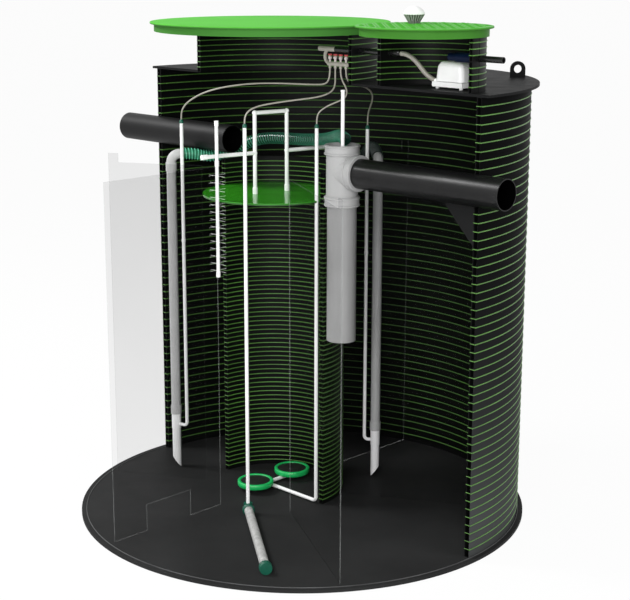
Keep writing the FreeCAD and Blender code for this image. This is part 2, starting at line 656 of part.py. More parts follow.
def make_diffuser_ends():
    """Green head and end cap of the tube diffuser."""
    x, y = TUBE_AIR_PIPE
    head = fused([
        upright(TUBE_HEAD_RADIUS, x, y, BASE_THICKNESS, TUBE_HEAD_TOP),
        rod(TUBE_HEAD_RADIUS, tube_point(0), tube_point(TUBE_HEAD_RADIUS)),
    ])
    cap = rod(TUBE_CAP_RADIUS, tube_point(tube_length() - TUBE_CAP_LENGTH), tube_point(tube_length()))
    return Part.makeCompound([head, cap])


def make_siphon_pipe():
    """Upturned U on the column cover, with a level arm from each leg over the column's edge."""
    along = heading(SIPHON_ANGLE)
    centre = Vector(COLUMN_X, 0, 0)
    pieces = []
    tops = []
    for side in (-1, 1):
        leg = centre + along * (side * SIPHON_HALF_SPAN)
        arm_end = leg + along * (side * SIPHON_ARM_LENGTH)
        top = leg + UP * SIPHON_TOP
        tops.append(top)
        pieces += [
            upright(SIPHON_RADIUS, leg.x, leg.y, COVER_TOP, SIPHON_TOP),
            upright(SIPHON_SOCKET_RADIUS, leg.x, leg.y, COVER_TOP, COVER_TOP + SIPHON_SOCKET_HEIGHT),
            Part.makeSphere(SIPHON_SOCKET_RADIUS, top),
            Part.makeSphere(SIPHON_SOCKET_RADIUS, leg + UP * SIPHON_ARM_Z),
            rod(SIPHON_RADIUS, leg + UP * SIPHON_ARM_Z, arm_end + UP * SIPHON_ARM_Z),
            rod(SIPHON_SOCKET_RADIUS, arm_end + UP * SIPHON_ARM_Z - along * (side * SIPHON_SOCKET_HEIGHT),
                arm_end + UP * SIPHON_ARM_Z),
        ]
    pieces.append(rod(SIPHON_RADIUS, tops[0], tops[1]))
    return fused(pieces)


def make_pegged_pipe():
    """White pipe with caps and crossed pegs, hung by its collar at the notched partition's inner edge."""
    aside = PEG_RADIUS + FIT
    x = COLUMN_X - PANEL_THICKNESS / 2 - aside
    y = -(COLUMN_RADIUS + FIT) + math.sqrt((PEGGED_CAP_RADIUS + FIT) ** 2 - aside ** 2)
    collar_low = PANEL_TAB_TOP + FIT
    pieces = [
        upright(PEGGED_RADIUS, x, y, PEGGED_BOTTOM, PEGGED_TOP),
        upright(PEGGED_CAP_RADIUS, x, y, PEGGED_TOP - PEGGED_CAP_HEIGHT, PEGGED_TOP),
        upright(PEGGED_CAP_RADIUS, x, y, collar_low, collar_low + PEGGED_COLLAR_HEIGHT),
        upright(PEGGED_CAP_RADIUS, x, y, PEGGED_BOTTOM, PEGGED_BOTTOM + PEGGED_CAP_HEIGHT),
    ]
    for level in range(PEG_LEVELS):
        z = PEG_FIRST_Z + level * PEG_PITCH
        pieces.append(rod(PEG_RADIUS, (x - PEG_REACH, y, z), (x + PEG_REACH, y, z)))
        cross_z = z + PEG_STAGGER
        pieces.append(rod(PEG_RADIUS, (x, y - PEG_REACH, cross_z), (x, y + PEG_REACH, cross_z)))
    return fused(pieces)


def make_partition_panels():
    """Upright panels from the column out to the tank wall, each with a tab at its outer top corner;
    the notched one is as high as the tabs all along."""
    panels = []
    half = PANEL_THICKNESS / 2
    for angle in PANEL_ANGLES:
        along = heading(angle)
        reaches = []
        for offset in (-half, half):
            start = Vector(COLUMN_X, 0, 0) + UP.cross(along) * offset
            across = start.dot(along)
            reaches.append(-across + math.sqrt(across ** 2 - start.Length ** 2 + (WALL_INNER - FIT) ** 2))
        inner = COLUMN_RADIUS + FIT
        outer = min(reaches)
        tab_start = inner if angle == NOTCHED_PANEL else outer - PANEL_TAB_WIDTH
        panel = fused([
            block((inner, outer), (-half, half), (BASE_THICKNESS, PANEL_TOP)),
            block((tab_start, outer), (-half, half), (PANEL_TOP, PANEL_TAB_TOP)),
        ])
        if angle == NOTCHED_PANEL:
            notch_top = BASE_THICKNESS + NOTCH_HEIGHT
            panel = panel.cut(block((NOTCH_FROM, NOTCH_TO), (-MARGIN, MARGIN), (0, notch_top)))
        panel.rotate(Vector(), UP, angle)
        panel.translate(Vector(COLUMN_X, 0, 0))
        panels.append(panel)
    return Part.makeCompound(panels)


def make_blower():
    """White air blower on a flanged base with four feet and a port that faces the hose on its left side."""
    (x0, x1), (y0, y1) = BLOWER_X, BLOWER_Y
    flange_low = PLATE_TOP + BLOWER_FOOT_HEIGHT
    flange_top = flange_low + BLOWER_FLANGE_HEIGHT
    cover_low = flange_top + BLOWER_GROOVE
    cover = block(BLOWER_X, BLOWER_Y, (cover_low, PLATE_TOP + BLOWER_HEIGHT))
    soft = [edge for edge in cover.Edges if edge.BoundBox.ZMax > cover_low + MARGIN]
    cover = cover.makeFillet(BLOWER_ROUND, soft)
    flange = block((x0 - BLOWER_FLANGE, x1 + BLOWER_FLANGE), (y0 - BLOWER_FLANGE, y1 + BLOWER_FLANGE),
                   (flange_low, flange_top))
    inset = BLOWER_ROUND / 2 + BLOWER_GROOVE
    waist = block((x0 + inset, x1 - inset), (y0 + inset, y1 - inset), (flange_top, cover_low))
    pieces = [cover, waist, flange]
    for x in (x0 + BLOWER_FOOT_INSET, x1 - BLOWER_FOOT_INSET):
        for y in (y0 + BLOWER_FOOT_INSET, y1 - BLOWER_FOOT_INSET):
            pieces.append(upright(BLOWER_FOOT_RADIUS, x, y, PLATE_TOP, flange_low))
    mouth = Vector(*BLOWER_HOSE[-1])
    inwards = mouth - Vector(*BLOWER_HOSE[-2])
    inwards.normalize()
    pieces.append(rod(BLOWER_HOSE_RADIUS + BLOWER_PORT_LIP, mouth, mouth + inwards * BLOWER_PORT_LENGTH))
    return fused(pieces)


def plug_back():
    """X of the power plug's back face, just inside the small neck's wall."""
    inner = SMALL_NECK_RADIUS - SMALL_NECK_WALL
    return SMALL_NECK_X + math.sqrt(inner ** 2 - DUCT_Y ** 2) - PLUG_WALL_GAP


def make_cable_duct():
    """Black duct between the necks, and the open stub that leaves the small neck."""
    duct = rod(DUCT_RADIUS, (DUCT_LEFT_END, DUCT_Y, DUCT_Z), (DUCT_RIGHT_END, DUCT_Y, DUCT_Z))
    stub = pipe(DUCT_RADIUS, DUCT_WALL, (plug_back(), DUCT_Y, DUCT_Z), (STUB_OUTER_END, DUCT_Y, DUCT_Z))
    return Part.makeCompound([duct, stub])


def make_power_plug():
    """Blue plug on the inner end of the stub."""
    back = plug_back()
    nose = back - PLUG_LENGTH
    return fused([
        rod(PLUG_NOSE_RADIUS, (nose, DUCT_Y, DUCT_Z), (back, DUCT_Y, DUCT_Z)),
        rod(PLUG_RADIUS, (nose + PLUG_NOSE, DUCT_Y, DUCT_Z), (back, DUCT_Y, DUCT_Z)),
    ])


def valve_places():
    """X of each valve along the manifold's bar."""
    return [VALVE_FIRST_X + index * VALVE_PITCH for index in range(VALVE_COUNT)]


def manifold_bar():
    """Bar that carries the valves, below the duct."""
    start = VALVE_FIRST_X - MANIFOLD_BAR_RADIUS
    return rod(MANIFOLD_BAR_RADIUS, (start, DUCT_Y, MANIFOLD_BAR_Z),
               (MANIFOLD_BAR_END, DUCT_Y, MANIFOLD_BAR_Z))


def make_air_manifold():
    """Pipe out of the duct, a loop at its end and a bar below with a port for each hose."""
    top = Vector(MANIFOLD_LOOP_X, DUCT_Y, DUCT_Z)
    centre = top - UP * MANIFOLD_LOOP_RADIUS
    ring = Part.Face(Part.Wire(Part.Circle(top, ALONG_X, MANIFOLD_LOOP_TUBE).toShape()))
    loop = ring.revolve(centre, ALONG_Y * -1, 180)
    pieces = [
        rod(MANIFOLD_PIPE_RADIUS, (MANIFOLD_LEFT_END, DUCT_Y, DUCT_Z), (DUCT_LEFT_END, DUCT_Y, DUCT_Z)),
        loop,
        manifold_bar(),
    ]
    for x in valve_places():
        pieces.append(upright(PORT_RADIUS, x, DUCT_Y, MANIFOLD_BAR_Z - PORT_REACH, MANIFOLD_BAR_Z))
    return fused(pieces)


def make_valve_bodies():
    """Round white valve bodies on the manifold's bar, each with the stem that its handle turns on."""
    bodies = []
    bar = manifold_bar()
    for x in valve_places():
        ball_z = VALVE_TOP - VALVE_RADIUS
        body = fused([
            upright(VALVE_NECK_RADIUS, x, DUCT_Y, MANIFOLD_BAR_Z, ball_z),
            Part.makeSphere(VALVE_RADIUS, Vector(x, DUCT_Y, ball_z)),
            upright(VALVE_STEM_RADIUS, x, DUCT_Y, ball_z, VALVE_TOP + VALVE_STEM_HEIGHT),
        ])
        bodies.append(body.cut(bar))
    return Part.makeCompound(bodies)


def make_valve_handle(x):
    """Red bar handle on a valve's stem."""
    low = VALVE_TOP + FIT
    high = low + HANDLE_HEIGHT
    half = HANDLE_LENGTH / 2 - HANDLE_WIDTH / 2
    bar = fused([
        block((x - half, x + half), (DUCT_Y - HANDLE_WIDTH / 2, DUCT_Y + HANDLE_WIDTH / 2), (low, high)),
        upright(HANDLE_WIDTH / 2, x - half, DUCT_Y, low, high),
        upright(HANDLE_WIDTH / 2, x + half, DUCT_Y, low, high),
        upright(HANDLE_HUB_RADIUS, x, DUCT_Y, low, high),
    ])
    return bar.cut(upright(VALVE_STEM_RADIUS + FIT, x, DUCT_Y, low, VALVE_TOP + VALVE_STEM_HEIGHT + FIT))


def make_parts():
    """Every node's shape by name."""
    parts = {"base_plate": make_base_plate(), "top_plate": make_top_plate()}
    for index in range(WALL_SEGMENTS):
        parts[f"tank_wall_{index + 1}"] = make_tank_wall(index)
    for index in range(COLUMN_SEGMENTS):
        parts[f"column_wall_{index + 1}"] = make_column_wall(index)
    parts["column_cover"] = make_column_cover()
    parts["large_neck"] = make_neck(COLUMN_X, LARGE_NECK_RADIUS, LARGE_NECK_WALL, TANK_TOP, LARGE_NECK_TOP)
    parts["small_neck"] = make_neck(SMALL_NECK_X, SMALL_NECK_RADIUS, SMALL_NECK_WALL,
                                    PLATE_TOP, SMALL_NECK_TOP)
    parts["large_lid"] = make_lid(COLUMN_X, LARGE_LID_RADIUS, LARGE_LID_TOP)
    parts["small_lid"] = make_lid(SMALL_NECK_X, SMALL_LID_RADIUS, SMALL_LID_TOP)
    parts["vent_cowl"] = make_vent_cowl()
    parts["lifting_eyes"] = make_lifting_eyes()
    parts["inlet_pipe"] = pipe(DRAIN_RADIUS, DRAIN_WALL, (INLET_OUTER_END, 0, INLET_Z),
                               (INLET_MOUTH, 0, INLET_Z))
    outlet_start = TEE_X + TEE_BRANCH_REACH - TEE_SOCKET_DEPTH
    parts["outlet_pipe"] = pipe(DRAIN_RADIUS, DRAIN_WALL, (outlet_start, 0, OUTLET_Z),
                                (OUTLET_END, 0, OUTLET_Z))
    parts["outlet_tee"] = make_outlet_tee()
    parts["outlet_gusset"] = make_outlet_gusset()
    parts["drop_pipe"] = pipe(DRAIN_RADIUS, DRAIN_WALL, (TEE_X, 0, DROP_BOTTOM),
                              (TEE_X, 0, TEE_BOTTOM + TEE_SOCKET_DEPTH))
    parts["tee_air_pipe"] = make_tee_air_pipe()
    parts["airlift_risers"] = Part.makeCompound([
        make_lift_riser(LEFT_LIFT, LEFT_FOOT_TOP, LEFT_LIFT_TOP, LEFT_SPOUT_ANGLE),
        make_lift_riser(RIGHT_LIFT, RIGHT_FOOT_TOP, RIGHT_LIFT_TOP, RIGHT_SPOUT_ANGLE)])
    parts["airlift_feet"] = Part.makeCompound([
        make_lift_foot(LEFT_LIFT, LEFT_FOOT_TOP, LEFT_BEVEL_ANGLE),
        make_lift_foot(RIGHT_LIFT, RIGHT_FOOT_TOP, RIGHT_BEVEL_ANGLE)])
    parts["air_pipes"] = make_air_pipes()
    parts["air_fittings"] = make_air_fittings()
    parts["diffuser_feed"] = make_diffuser_feed()
    parts["disc_diffusers"] = make_disc_diffusers()
    parts["tube_diffuser"] = make_tube_diffuser()
    parts["diffuser_ends"] = make_diffuser_ends()
    parts["siphon_pipe"] = make_siphon_pipe()
    parts["pegged_pipe"] = make_pegged_pipe()
    parts["partition_panels"] = make_partition_panels()
    parts["blower"] = make_blower()
    parts["cable_duct"] = make_cable_duct()
    parts["power_plug"] = make_power_plug()
    parts["air_manifold"] = make_air_manifold()
    parts["valve_bodies"] = make_valve_bodies()
    for index, x in enumerate(valve_places()):
        parts[f"valve_handle_{index + 1}"] = make_valve_handle(x)
    routes = [AIR_HOSE_1, AIR_HOSE_2, AIR_HOSE_3, AIR_HOSE_4]
    for index, route in enumerate(routes):
        name = f"air_hose_{index + 1}"
        parts[name] = hose(name, AIR_HOSE_RADIUS, route)
    parts["blower_hose"] = hose("blower_hose", BLOWER_HOSE_RADIUS, BLOWER_HOSE)
    parts["return_hose"] = hose("return_hose", LIFT_HOSE_RADIUS, RETURN_HOSE)
    parts["spill_hose"] = hose("spill_hose", LIFT_HOSE_RADIUS, SPILL_HOSE)
    return parts


os.makedirs("parts", exist_ok=True)
for node, shape in make_parts().items():
    shape.exportStep(f"parts/{node}.step")
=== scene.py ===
"""Looks of a packaged sewage treatment plant, shown as a cutaway.

Finishes for every piece, the green seams of the wound walls, the hoses, and a pale studio. Metres, in the
part's own frame: X along the cut, +Y into the standing half, Z up.
"""

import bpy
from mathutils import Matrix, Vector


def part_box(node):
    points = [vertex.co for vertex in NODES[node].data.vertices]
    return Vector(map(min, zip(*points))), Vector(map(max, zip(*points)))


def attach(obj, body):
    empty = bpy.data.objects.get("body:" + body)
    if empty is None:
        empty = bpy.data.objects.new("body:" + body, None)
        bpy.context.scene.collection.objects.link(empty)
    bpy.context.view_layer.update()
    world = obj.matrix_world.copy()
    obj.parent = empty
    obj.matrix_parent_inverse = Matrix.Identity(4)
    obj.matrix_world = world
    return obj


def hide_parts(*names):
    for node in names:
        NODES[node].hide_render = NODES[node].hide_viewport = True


bl_info = {
    "name": "Sewage treatment plant looks",
    "version": (1, 0, 0),
    "blender": (4, 5, 0),
    "location": "3D View > Sidebar > Plant",
    "description": "Finishes, wound seams, hoses and stage for a cutaway sewage treatment plant",
    "category": "Object",
}

import math

import bmesh
import bpy
from bpy.props import FloatProperty, FloatVectorProperty, IntProperty, PointerProperty
from mathutils import Vector

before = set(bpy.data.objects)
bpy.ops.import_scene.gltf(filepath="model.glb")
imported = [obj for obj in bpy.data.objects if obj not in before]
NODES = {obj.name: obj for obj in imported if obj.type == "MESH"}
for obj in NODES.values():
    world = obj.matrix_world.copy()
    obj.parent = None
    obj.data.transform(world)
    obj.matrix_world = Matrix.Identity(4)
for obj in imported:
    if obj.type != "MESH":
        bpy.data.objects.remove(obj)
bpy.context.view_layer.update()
BODY = "plant"

# Segment angles of the round walls, as the frame holds them
TANK_SEGMENT = math.radians(30)
COLUMN_SEGMENT = math.radians(60)

# Tank wall: how far in from its outside a face still counts as outside
OUTSIDE_DEPTH = 0.003

# Routes of the hoses, in millimetres: the points that each one turns at
ROUTES_MM = {
    "air_hose_1": [
        (146, 66, 2488), (146, 66, 2452), (136, 64, 2420), (121, 62, 2405), (92, 58, 2397), (30, 48, 2394),
        (-75, 26, 2392), (-200, -6, 2390), (-335, -44, 2383), (-465, -80, 2365), (-575, -110, 2342),
        (-668, -135, 2312), (-744, -151, 2274), (-796, -157, 2238), (-821, -158, 2208), (-830, -158, 2178),
        (-830, -158, 2151)],
    "air_hose_2": [
        (185.5, 66, 2488), (185.5, 66, 2454), (192, 60, 2418), (199, 44, 2384), (191, 14, 2358),
        (160, -46, 2340), (105, -138, 2330), (46, -232, 2318), (4, -306, 2306), (-18, -352, 2292),
        (-30, -384, 2270), (-33, -397, 2240), (-33, -397, 2213)],
    "air_hose_3": [
        (225, 66, 2488), (225, 66, 2456), (232, 76, 2418), (242, 91, 2390), (245, 97, 2360),
        (237, 88, 2332), (212, 63, 2314), (176, 29, 2294), (150, 3, 2272), (136, -12, 2252),
        (130, -18.5, 2222), (130, -18.5, 2193)],
    "air_hose_4": [
        (264.5, 66, 2488), (264.5, 66, 2460), (260, 80, 2434), (246, 112, 2414), (228, 160, 2400),
        (206, 224, 2388), (188, 300, 2374), (172, 362, 2350), (146, 410, 2316), (108, 446, 2276),
        (64, 478, 2238), (34, 500, 2212), (19, 511, 2190), (12, 516, 2160), (12, 516, 2132)],
    "blower_hose": [
        (650, 66, 2590), (676, 66, 2590), (701, 68, 2583), (724, 73, 2570), (744, 82, 2550),
        (763, 94, 2523), (780, 107, 2495), (802, 118, 2474), (828, 126, 2461)],
    "return_hose": [
        (-869, -118, 1945), (-833, -70, 1945), (-790, -14, 1928), (-744, 39, 1930), (-692, 92, 1954),
        (-632, 138, 1991), (-560, 174, 2026), (-475, 200, 2044), (-375, 216, 2050), (-265, 220, 2053),
        (-150, 210, 2062), (-35, 186, 2076), (72, 146, 2096), (165, 100, 2120), (245, 54, 2135),
        (318, 10, 2122)],
    "spill_hose": [
        (8.5, 610.5, 1940), (-44, 663, 1940), (-108, 727, 1945), (-176, 793, 1949), (-247, 856, 1950),
        (-316, 906, 1940), (-378, 944, 1913), (-428, 972, 1871)],
}
ROUTES = {node: [tuple(part / 1000 for part in point) for point in points]
          for node, points in ROUTES_MM.items()}

# Pegs of the pegged pipe: their radius in the frame, the heights between which they lie, and the lowest pair
PEG_RADIUS = 0.0025
PEG_SPAN = (1.377, 1.922)
PEG_FIRST = (1.381, 1.387)

# Airlifts: their axes, the tops of their feet, the feet's radius in the frame and the depth of their collars
LIFTS = ((-0.911, -0.174), (0.058, 0.561))
LIFT_TOPS = (0.355, 0.305)
LIFT_RADIUS = 0.028
FOOT_COLLAR_DEPTH = 0.004

# The stretch along X in which the return hose's colour turns from painted light to painted shade
SPIRAL_SHADE_FADE = (-0.80, -0.50)

# Spiral hoses: ribs' radii from the outside in to the wall, and points to one turn of the rib
WALL_INSET = 1.6
RIB_POINTS = 18

# Middle of the blower's cover, its heights, and how much narrower it is at its top
BLOWER_MIDDLE = (0.930, 0.165)
BLOWER_COVER = (2.462, 2.560)
BLOWER_TAPER = 0.16

# Weld round the base: its distance from the wall's outside, and its width and height
WELD_FROM_WALL = 0.004
WELD_BEAD = (0.007, 0.0035)

# Lids and cover: depths below the top between which the rim's painted shade turns into the top's colour
RIM_SHADE_FADE = (0.006, 0.001)

# Small lid: the plain margin round its tread, and the size of a mark. Vent: its slots and its cap's height
TREAD_MARGIN = 0.020
TREAD_MARK = (0.030, 0.009, 0.005)
VENT_SLOTS = 12
VENT_CAP = 0.041

# Tee: how far in from a mouth its beads lie, a bead's width and height, and the band that is under them
TOP_BEADS = (0.008, 0.048)
SOCKET_BEADS = (0.008, 0.046)
SOCKET_BEAD = (0.012, 0.005)
BAND_MIDDLE = 0.0275
BAND_WIDTH = 0.053
BAND_PROUD = 0.0006

# Disc diffusers: the rim's height, how far below it the membrane starts, the ring's width, and the skirt's
# outline from the disc's edge
DISC_RIM = 0.006
MEMBRANE_DROP = 0.001
RING_WIDTH = 0.014
SKIRT = ((-0.015, 0.0), (-0.012, 0.004), (0.002, 0.004), (0.005, 0.001), (0.005, -0.022), (0.001, -0.027),
         (-0.012, -0.027))

# Tube diffuser: its line along the floor, a collar's outline as shares of its radius, and the collars' places
TUBE_LINE = ((-0.033, -0.397), (0.636, -0.895))
COLLAR = ((0.5, -0.015), (0.86, -0.015), (1.0, -0.011), (1.0, 0.011), (0.86, 0.015), (0.5, 0.015))
COLLAR_INSETS = (0.022, 0.024)

# Faces of the partitions that are narrower than this are their edges
EDGE_WIDTH = 0.010

# Noise: its usual reach, the scale of a fine grain in cycles to the metre, and the depth of the grain's bump
NOISE_REACH = (0.3, 0.7)
FINE_GRAIN = 420.0
PEEL_DEPTH = 0.001

# Moulded finishes: tint, roughness, depth and scale of the clouds, and the bump and shine that aren't usual
MOULDED = {
    "wound_seam": ("seam", 0.42, 0.22, 6.0),
    "dark_plate": ("plate", 0.5, 0.18, 1.6, 0.08, 0.02),
    "base_plate": ("base", 0.5, 0.18, 1.6, 0.08, 0.02),
    "base_weld": ("weld", 0.5, 0.3, 4.0, 0.05, 0.1),
    "black_pipe": ("black_pipe", 0.24, 0.2, 3.0, 0.03),
    "tee_grey": ("tee", 0.45, 0.05, 5.0, 0.05, 0.35),
    "grey_pipe": ("grey_pipe", 0.42, 0.06, 5.0, 0.05, 0.35),
    "riser_grey": ("riser", 0.42, 0.06, 5.0, 0.05, 0.35),
    "white_pipe": ("white_pipe", 0.36, 0.03, 6.0, 0.03),
    "diffuser_ring": ("diffuser_ring", 0.36, 0.10, 14.0),
    "green_fitting": ("fitting", 0.4, 0.16, 30.0),
    "white_housing": ("blower", 0.34, 0.03, 8.0, 0.04),
    "valve_body": ("valve", 0.34, 0.06, 40.0),
    "blue_plug": ("plug", 0.42, 0.15, 25.0, 0.05, 0.1),
    "pale_manifold": ("manifold", 0.4, 0.08, 20.0),
    "red_handle": ("handle", 0.35, 0.12, 60.0),
    "pale_hose": ("pale_hose", 0.38, 0.10, 18.0),
    "dark_spiral": ("dark_spiral", 0.36, 0.2, 20.0),
}
FINISHES = {}

# Real lengths of the hoses
LENGTHS = {"air_hose_1": 1.159, "air_hose_2": 0.675, "air_hose_3": 0.388, "air_hose_4": 0.694,
           "blower_hose": 0.241, "return_hose": 1.388, "spill_hose": 0.588}

# Camera of the photograph: place, heading, downward tilt, lens and shift
CAMERA_PLACE = (5.6071, -5.6071, 3.1174)
CAMERA_HEADING = math.pi / 4
CAMERA_TILT = 0.2320
CAMERA_LENS = 82.98
CAMERA_SHIFT = (0.02044, -0.01457)

# Lamps: place, the point that it faces, and size
LAMPS = {
    "front": ((4.5, -6.5, 4.0), (0, 0, 1.4), 5.0),
    "key": ((-4.8, -2.9, 6.7), (0, 0, 1.6), 2.5),
    "side": ((7.5, 1.5, 3.0), (0.8, 0, 1.3), 4.0),
}

# Floor: half its width, and the share of white in it where it is seen directly
FLOOR_REACH = 150.0
FLOOR_WHITE = 0.95

UP = (0, 0, 1)
NO_HOLE = -1.0


def colour(label, value):
    """Colour property with its description."""
    return FloatVectorProperty(name=label, description=f"Colour of the {label.lower()}", subtype="COLOR",
                               default=value, min=0.0, max=1.0)


def length(label, words, value):
    """Length property with its description."""
    return FloatProperty(name=label, description=words, default=value, min=0.0, unit="LENGTH")


class PlantColours(bpy.types.PropertyGroup):
    """Colours of the plant's finishes."""
    wall: colour("Wound wall", (0.0039, 0.0041, 0.0041))
    seam: colour("Wound seam", (0.080, 0.215, 0.035))
    plate: colour("Roof plate", (0.013, 0.0133, 0.0135))
    base: colour("Base plate", (0.0245, 0.0248, 0.025))
    # The weld is paler than the base plate: a painted highlight along its bead
    weld: colour("Base weld", (0.085, 0.086, 0.087))
    # The rims of the lids and the cover are deeper tints of the tops' green: painted shade, as they face away
    # from the light
    lid: colour("Large lid", (0.107, 0.515, 0.056))
    lid_rim_shade: colour("Large lid's rim", (0.053, 0.194, 0.034))
    small_lid: colour("Small lid", (0.083, 0.425, 0.043))
    small_lid_rim_shade: colour("Small lid's rim", (0.050, 0.192, 0.026))
    cover: colour("Column cover", (0.032, 0.275, 0.012))
    cover_rim_shade: colour("Column cover's rim", (0.020, 0.11, 0.012))
    black_pipe: colour("Drain pipes", (0.006, 0.006, 0.0063))
    tee: colour("Outlet tee", (0.395, 0.395, 0.395))
    grey_pipe: colour("Drop pipe", (0.30, 0.30, 0.30))
    riser: colour("Airlift risers", (0.45, 0.45, 0.45))
    white_pipe: colour("White pipes", (0.94, 0.94, 0.94))
    fitting: colour("Air fittings", (0.002, 0.085, 0.05))
    diffuser_ring: colour("Diffuser rings", (0.012, 0.48, 0.115))
    membrane: colour("Disc membranes", (0.014, 0.016, 0.015))
    sleeve: colour("Tube diffuser's sleeve", (0.45, 0.45, 0.44))
    pane_edge: colour("Partition edges", (0.62, 0.65, 0.64))
    blower: colour("Blower", (0.96, 0.96, 0.96))
    plug: colour("Power plug", (0.002, 0.006, 0.022))
    manifold: colour("Air manifold", (0.34, 0.32, 0.28))
    valve: colour("Valve bodies", (0.52, 0.47, 0.45))
    handle: colour("Valve handles", (0.42, 0.03, 0.03))
    pale_hose: colour("Air hoses", (0.33, 0.31, 0.27))
    # The return hose is painted as lit in its first stretch and as shaded beyond it; the spill hose's wall
    # has the shaded tint all along
    spiral: colour("Return hose's spiral", (0.16, 0.66, 0.44))
    deep_spiral: colour("Return hose's spiral beyond the inlet", (0.042, 0.21, 0.13))
    hose_wall: colour("Return hose's wall before the inlet", (0.035, 0.26, 0.135))
    deep_hose_wall: colour("Spiral hoses' wall elsewhere", (0.003, 0.030, 0.019))
    dark_spiral: colour("Spill hose's spiral", (0.02, 0.035, 0.03))
    vent: colour("Vent cowl", (0.36, 0.345, 0.35))


class PlantSizes(bpy.types.PropertyGroup):
    """Sizes of what the looks add to the plant."""
    seam_bead: length("Seam bead", "Radius of the bead along a wound seam", 0.0034)
    seam_tick: length("Seam tick", "Radius of the bead across a cut face", 0.0024)
    tank_pitch: length("Tank seam pitch", "Height between seams on the tank wall", 0.044)
    neck_pitch: length("Neck seam pitch", "Height between seams on the access necks", 0.0305)
    column_pitch: length("Column seam pitch", "Height between seams on the inner column", 0.0275)
    large_neck_wall: length("Large neck's wall", "Wall thickness of the large neck", 0.026)
    small_neck_wall: length("Small neck's wall", "Wall thickness of the small neck", 0.022)
    bore: length("Drain bore", "Radius within which a drain pipe is dark", 0.0755)
    sleeve_hole: length("Sleeve hole", "Radius kept free of seams round a drain pipe", 0.084)
    duct_hole: length("Duct hole", "Radius kept free of seams round the cable duct", 0.018)
    air_hose: length("Air hose", "Radius of the air hoses", 0.0045)
    blower_hose: length("Blower hose", "Radius of the blower's hose", 0.012)
    lift_hose: length("Lift hose", "Outside radius of the spiral hoses on the airlifts", 0.034)
    spiral_turn: length("Spiral turn", "Length of hose to one turn of its spiral", 0.0175)
    spiral_rib: length("Spiral rib", "Radius of the spiral's rib", 0.0022)
    peg: length("Peg", "Radius of the pegs of the pegged pipe", 0.0006)
    peg_pitch: length("Peg pitch", "Height from one pair of pegs to the next", 0.0407)
    lift_foot: length("Airlift foot", "Radius of an airlift's foot below its collar", 0.0255)
    foot_collar: length("Foot collar", "Height of the collar on an airlift's foot", 0.095)
    sleeve: length("Tube sleeve", "Radius of the tube diffuser's sleeve", 0.025)
    tube_collar: length("Tube collar", "Radius of the collars on the tube diffuser", 0.034)
    tread_pitch: length("Tread pitch", "Distance between the raised marks of the small lid", 0.034)
    arc_points: IntProperty(name="Arc points", description="Points along half a turn of seam", default=73,
                            min=9)


class PlantStage(bpy.types.PropertyGroup):
    """Light and floor of the studio."""
    world_light: FloatProperty(name="World light", description="Strength of the even light", default=0.45)
    front_power: FloatProperty(name="Front lamp", description="Power of the broad lamp in front",
                               default=480.0, unit="POWER")
    key_power: FloatProperty(name="Key lamp", description="Power of the small lamp high on the left",
                             default=420.0, unit="POWER")
    side_power: FloatProperty(name="Side lamp", description="Power of the lamp on the right", default=90.0,
                              unit="POWER")
    floor: colour("Floor", (0.9, 0.9, 0.9))


def sum_method(operation, flipped=False):
    """Method that adds the node for one sum or comparison."""
    def method(self, other):
        pair = (other, self) if flipped else (self, other)
        return self.graph.math(operation, *pair)
    return method


class Term:
    """A socket of a node tree, which can be added, compared and so on as a number can."""

    def __init__(self, graph, socket):
        self.graph = graph
        self.socket = socket

    __add__ = sum_method("ADD")
    __radd__ = sum_method("ADD", flipped=True)
    __sub__ = sum_method("SUBTRACT")
    __rsub__ = sum_method("SUBTRACT", flipped=True)
    __mul__ = sum_method("MULTIPLY")
    __truediv__ = sum_method("DIVIDE")
    __gt__ = sum_method("GREATER_THAN")
    __lt__ = sum_method("LESS_THAN")


class Graph:
    """A node tree with short calls that add and link nodes."""

    def __init__(self, tree):
        self.tree = tree

    def feed(self, socket, value):
        """Give a socket a plain value, or link a term to it."""
        if isinstance(value, Term):
            self.tree.links.new(value.socket, socket)
        else:
            socket.default_value = value

    def add(self, kind, inputs=None, **settings):
        """New node, its inputs given by name or number."""
        node = self.tree.nodes.new(kind)
        for name, value in settings.items():
            setattr(node, name, value)
        for name, value in (inputs or {}).items():
            self.feed(node.inputs[name], value)
        return node

    def term(self, kind, inputs=None, output=0, **settings):
        """One output of a new node."""
        return Term(self, self.add(kind, inputs, **settings).outputs[output])

    def math(self, operation, first, second=0.0):
        """Result of one sum."""
        return self.term("ShaderNodeMath", {0: first, 1: second}, operation=operation)

    def vector(self, x, y, z):
        """Vector from three numbers."""
        return self.term("ShaderNodeCombineXYZ", {0: x, 1: y, 2: z})

    def parts(self, vector):
        """The three numbers of a vector."""
        return [Term(self, socket) for socket in self.add("ShaderNodeSeparateXYZ", {0: vector}).outputs]

    def size(self, vector):
        """Length of a vector."""
        return self.term("ShaderNodeVectorMath", {0: vector}, "Value", operation="LENGTH")

    def tube(self, curves, sides, radius):
        """Round tube along curves, closed at its ends."""
        section = self.term("GeometryNodeCurvePrimitiveCircle", {"Resolution": sides, "Radius": radius})
        inputs = {"Curve": curves, "Profile Curve": section, "Fill Caps": True}
        return self.term("GeometryNodeCurveToMesh", inputs)


